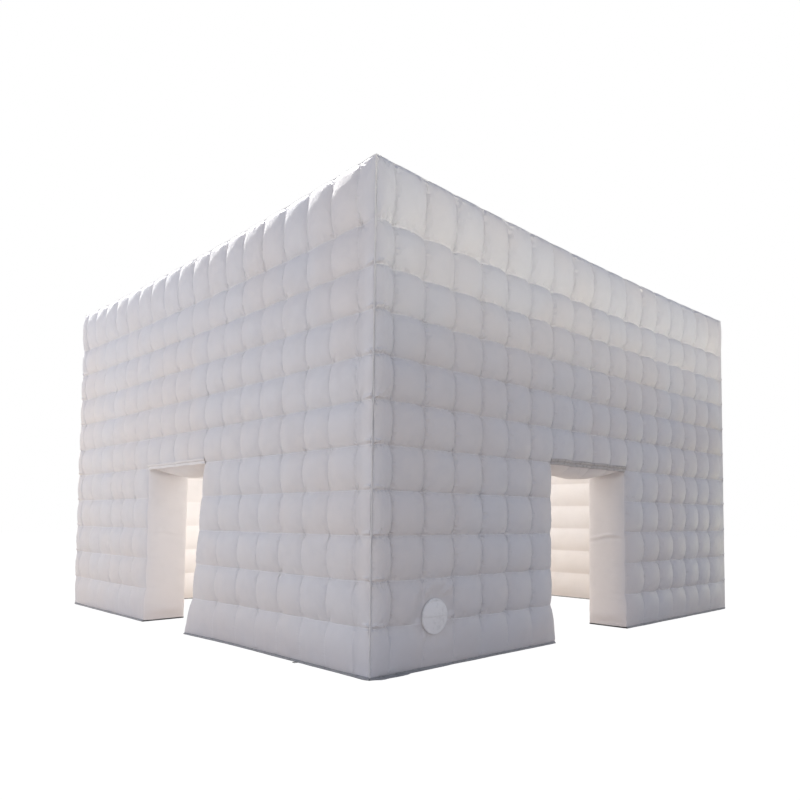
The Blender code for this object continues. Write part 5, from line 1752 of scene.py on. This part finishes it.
class StageSettings(bpy.types.PropertyGroup):
    """The camera, floor and lights."""

    lens: FloatProperty(name="Lens", description="Focal length", default=31.57, subtype="DISTANCE_CAMERA")
    shift_x: amount("Shift across", "Sideways shift of the view", -0.0475)
    shift_y: amount("Shift up", "Upward shift of the view", 0.0982)
    floor_size: length("Floor size", "Side of the floor", 120.0)
    floor_glow: amount("Floor glow", "Light of the floor as seen", 1.0)
    floor_bounce: colour_property("Floor bounce", "Colour of the light off the floor", (0.80, 0.71, 0.64))
    zenith: colour_property("Zenith", "Colour of the light from overhead", (0.180, 0.206, 0.325))
    horizon: colour_property("Horizon", "Colour of the light from the sides", (0.831, 0.856, 0.898))
    sky_strength: amount("Sky", "Strength of the sky", 1.0)
    sun: amount("Sun", "Strength of the sun behind the tent", 1.0)
    eave_sun: amount("Eave sun", "Strength of the sun on the left eave", 15.0)
    front_soft: amount("Front soft", "Power of the low front light", 44.0)
    left_soft: amount("Left soft", "Power of the left light", 372.0)
    left_end: amount("Left end", "Power of the light at the far left", 22.0)
    right_soft: amount("Right soft", "Power of the right light", 20.0)
    key_soft: amount("Key soft", "Power of the high light at the near corner", 100.0)
    back_glow: amount("Back glow", "Power of the light on the room's back wall", 7.0)
    jamb_glow: amount("Jamb glow", "Power of the light in the left doorway", 8.5)
    room_light: amount("Room light", "Power of the light in the room", 170.0)
    room_fill: amount("Room fill", "Power of the low light in the room", 12.0)


class TENT_OT_outer_walls(bpy.types.Operator):
    """Make the quilted outer walls"""

    bl_idname = "tent.outer_walls"
    bl_label = "Outer walls"

    def execute(self, context):
        for panel in OUTER_PANELS:
            outer_wall_piece(*panel)
        return {"FINISHED"}


class TENT_OT_roof(bpy.types.Operator):
    """Make the quilted roof"""

    bl_idname = "tent.roof"
    bl_label = "Roof"

    def execute(self, context):
        roof_piece()
        return {"FINISHED"}


class TENT_OT_room(bpy.types.Operator):
    """Make the room's walls and ceiling"""

    bl_idname = "tent.room"
    bl_label = "Room"

    def execute(self, context):
        for panel in OUTER_PANELS:
            inner_wall_piece(*panel)
        ceiling_piece()
        return {"FINISHED"}


class TENT_OT_doorways(bpy.types.Operator):
    """Make the sides, undersides and hems of both doorways"""

    bl_idname = "tent.doorways"
    bl_label = "Doorways"

    def execute(self, context):
        for side, left_part, right_part in (("front", "left", "right"), ("left", "rear", "front")):
            jamb_piece(f"{side}_{left_part}", side, DOOR_LEFT, 1)
            jamb_piece(f"{side}_{right_part}", side, DOOR_RIGHT, -1)
            lintel_piece(side)
            hem_piece(side)
        return {"FINISHED"}


class TENT_OT_ground_strips(bpy.types.Operator):
    """Make the dark strips along the ground"""

    bl_idname = "tent.ground_strips"
    bl_label = "Ground strips"

    def execute(self, context):
        for strip in BASE_STRIPS:
            base_piece(*strip)
        return {"FINISHED"}


class TENT_OT_webs(bpy.types.Operator):
    """Make the webs between the two skins"""

    bl_idname = "tent.webs"
    bl_label = "Webs"

    def execute(self, context):
        for panel in WEB_PANELS:
            wall_web_piece(*panel)
        roof_web_piece()
        return {"FINISHED"}


class TENT_OT_piping(bpy.types.Operator):
    """Make the cords in the corners and round the eaves"""

    bl_idname = "tent.piping"
    bl_label = "Piping"

    def execute(self, context):
        piping_pieces()
        return {"FINISHED"}


class TENT_OT_port(bpy.types.Operator):
    """Make the inflation port with its sleeve, cover and check flap"""

    bl_idname = "tent.port"
    bl_label = "Inflation port"

    def execute(self, context):
        collar_piece()
        sleeve_piece()
        cover_piece()
        check_flap_piece()
        return {"FINISHED"}


class TENT_OT_zips(bpy.types.Operator):
    """Make the deflation zips"""

    bl_idname = "tent.zips"
    bl_label = "Deflation zips"

    def execute(self, context):
        for side in ZIP_SIDES:
            zip_pieces(side)
        return {"FINISHED"}


class TENT_OT_anchors(bpy.types.Operator):
    """Make the webbing anchor loops"""

    bl_idname = "tent.anchors"
    bl_label = "Anchor loops"

    def execute(self, context):
        for side in ANCHOR_SIDES:
            anchor_piece(side)
        return {"FINISHED"}


class TENT_OT_stage(bpy.types.Operator):
    """Make the camera, floor, sky and lights"""

    bl_idname = "tent.stage"
    bl_label = "Stage"

    def execute(self, context):
        camera()
        sky()
        floor()
        lights()
        context.scene.view_settings.view_transform = "Standard"
        return {"FINISHED"}


OPERATORS = (
    TENT_OT_outer_walls, TENT_OT_roof, TENT_OT_room, TENT_OT_doorways, TENT_OT_ground_strips, TENT_OT_webs,
    TENT_OT_piping, TENT_OT_port, TENT_OT_zips, TENT_OT_anchors, TENT_OT_stage
)


class TENT_PT_sidebar(bpy.types.Panel):
    """Lists the tent's pieces and settings"""

    bl_idname = "TENT_PT_sidebar"
    bl_label = "Inflatable Tent"
    bl_space_type = "VIEW_3D"
    bl_region_type = "UI"
    bl_category = "Tent"

    def draw(self, context):
        layout = self.layout
        for operator in OPERATORS:
            layout.operator(operator.bl_idname)
        for group in (context.scene.tent_quilt, context.scene.tent_colours, context.scene.tent_stage):
            box = layout.box()
            for key in group.bl_rna.properties.keys():
                if key not in {"rna_type", "name"}:
                    box.prop(group, key)


CLASSES = (QuiltSizes, FinishColours, StageSettings, *OPERATORS, TENT_PT_sidebar)


def register():
    """Register the classes and their settings."""
    for cls in CLASSES:
        bpy.utils.register_class(cls)
    bpy.types.Scene.tent_quilt = PointerProperty(type=QuiltSizes)
    bpy.types.Scene.tent_colours = PointerProperty(type=FinishColours)
    bpy.types.Scene.tent_stage = PointerProperty(type=StageSettings)


def unregister():
    """Remove the settings and the classes."""
    del bpy.types.Scene.tent_stage
    del bpy.types.Scene.tent_colours
    del bpy.types.Scene.tent_quilt
    for cls in reversed(CLASSES):
        bpy.utils.unregister_class(cls)


def main():
    """Make every piece in order."""
    register()
    for operator in OPERATORS:
        group, name = operator.bl_idname.split(".")
        getattr(getattr(bpy.ops, group), name)()


if __name__ == "__main__":
    main()
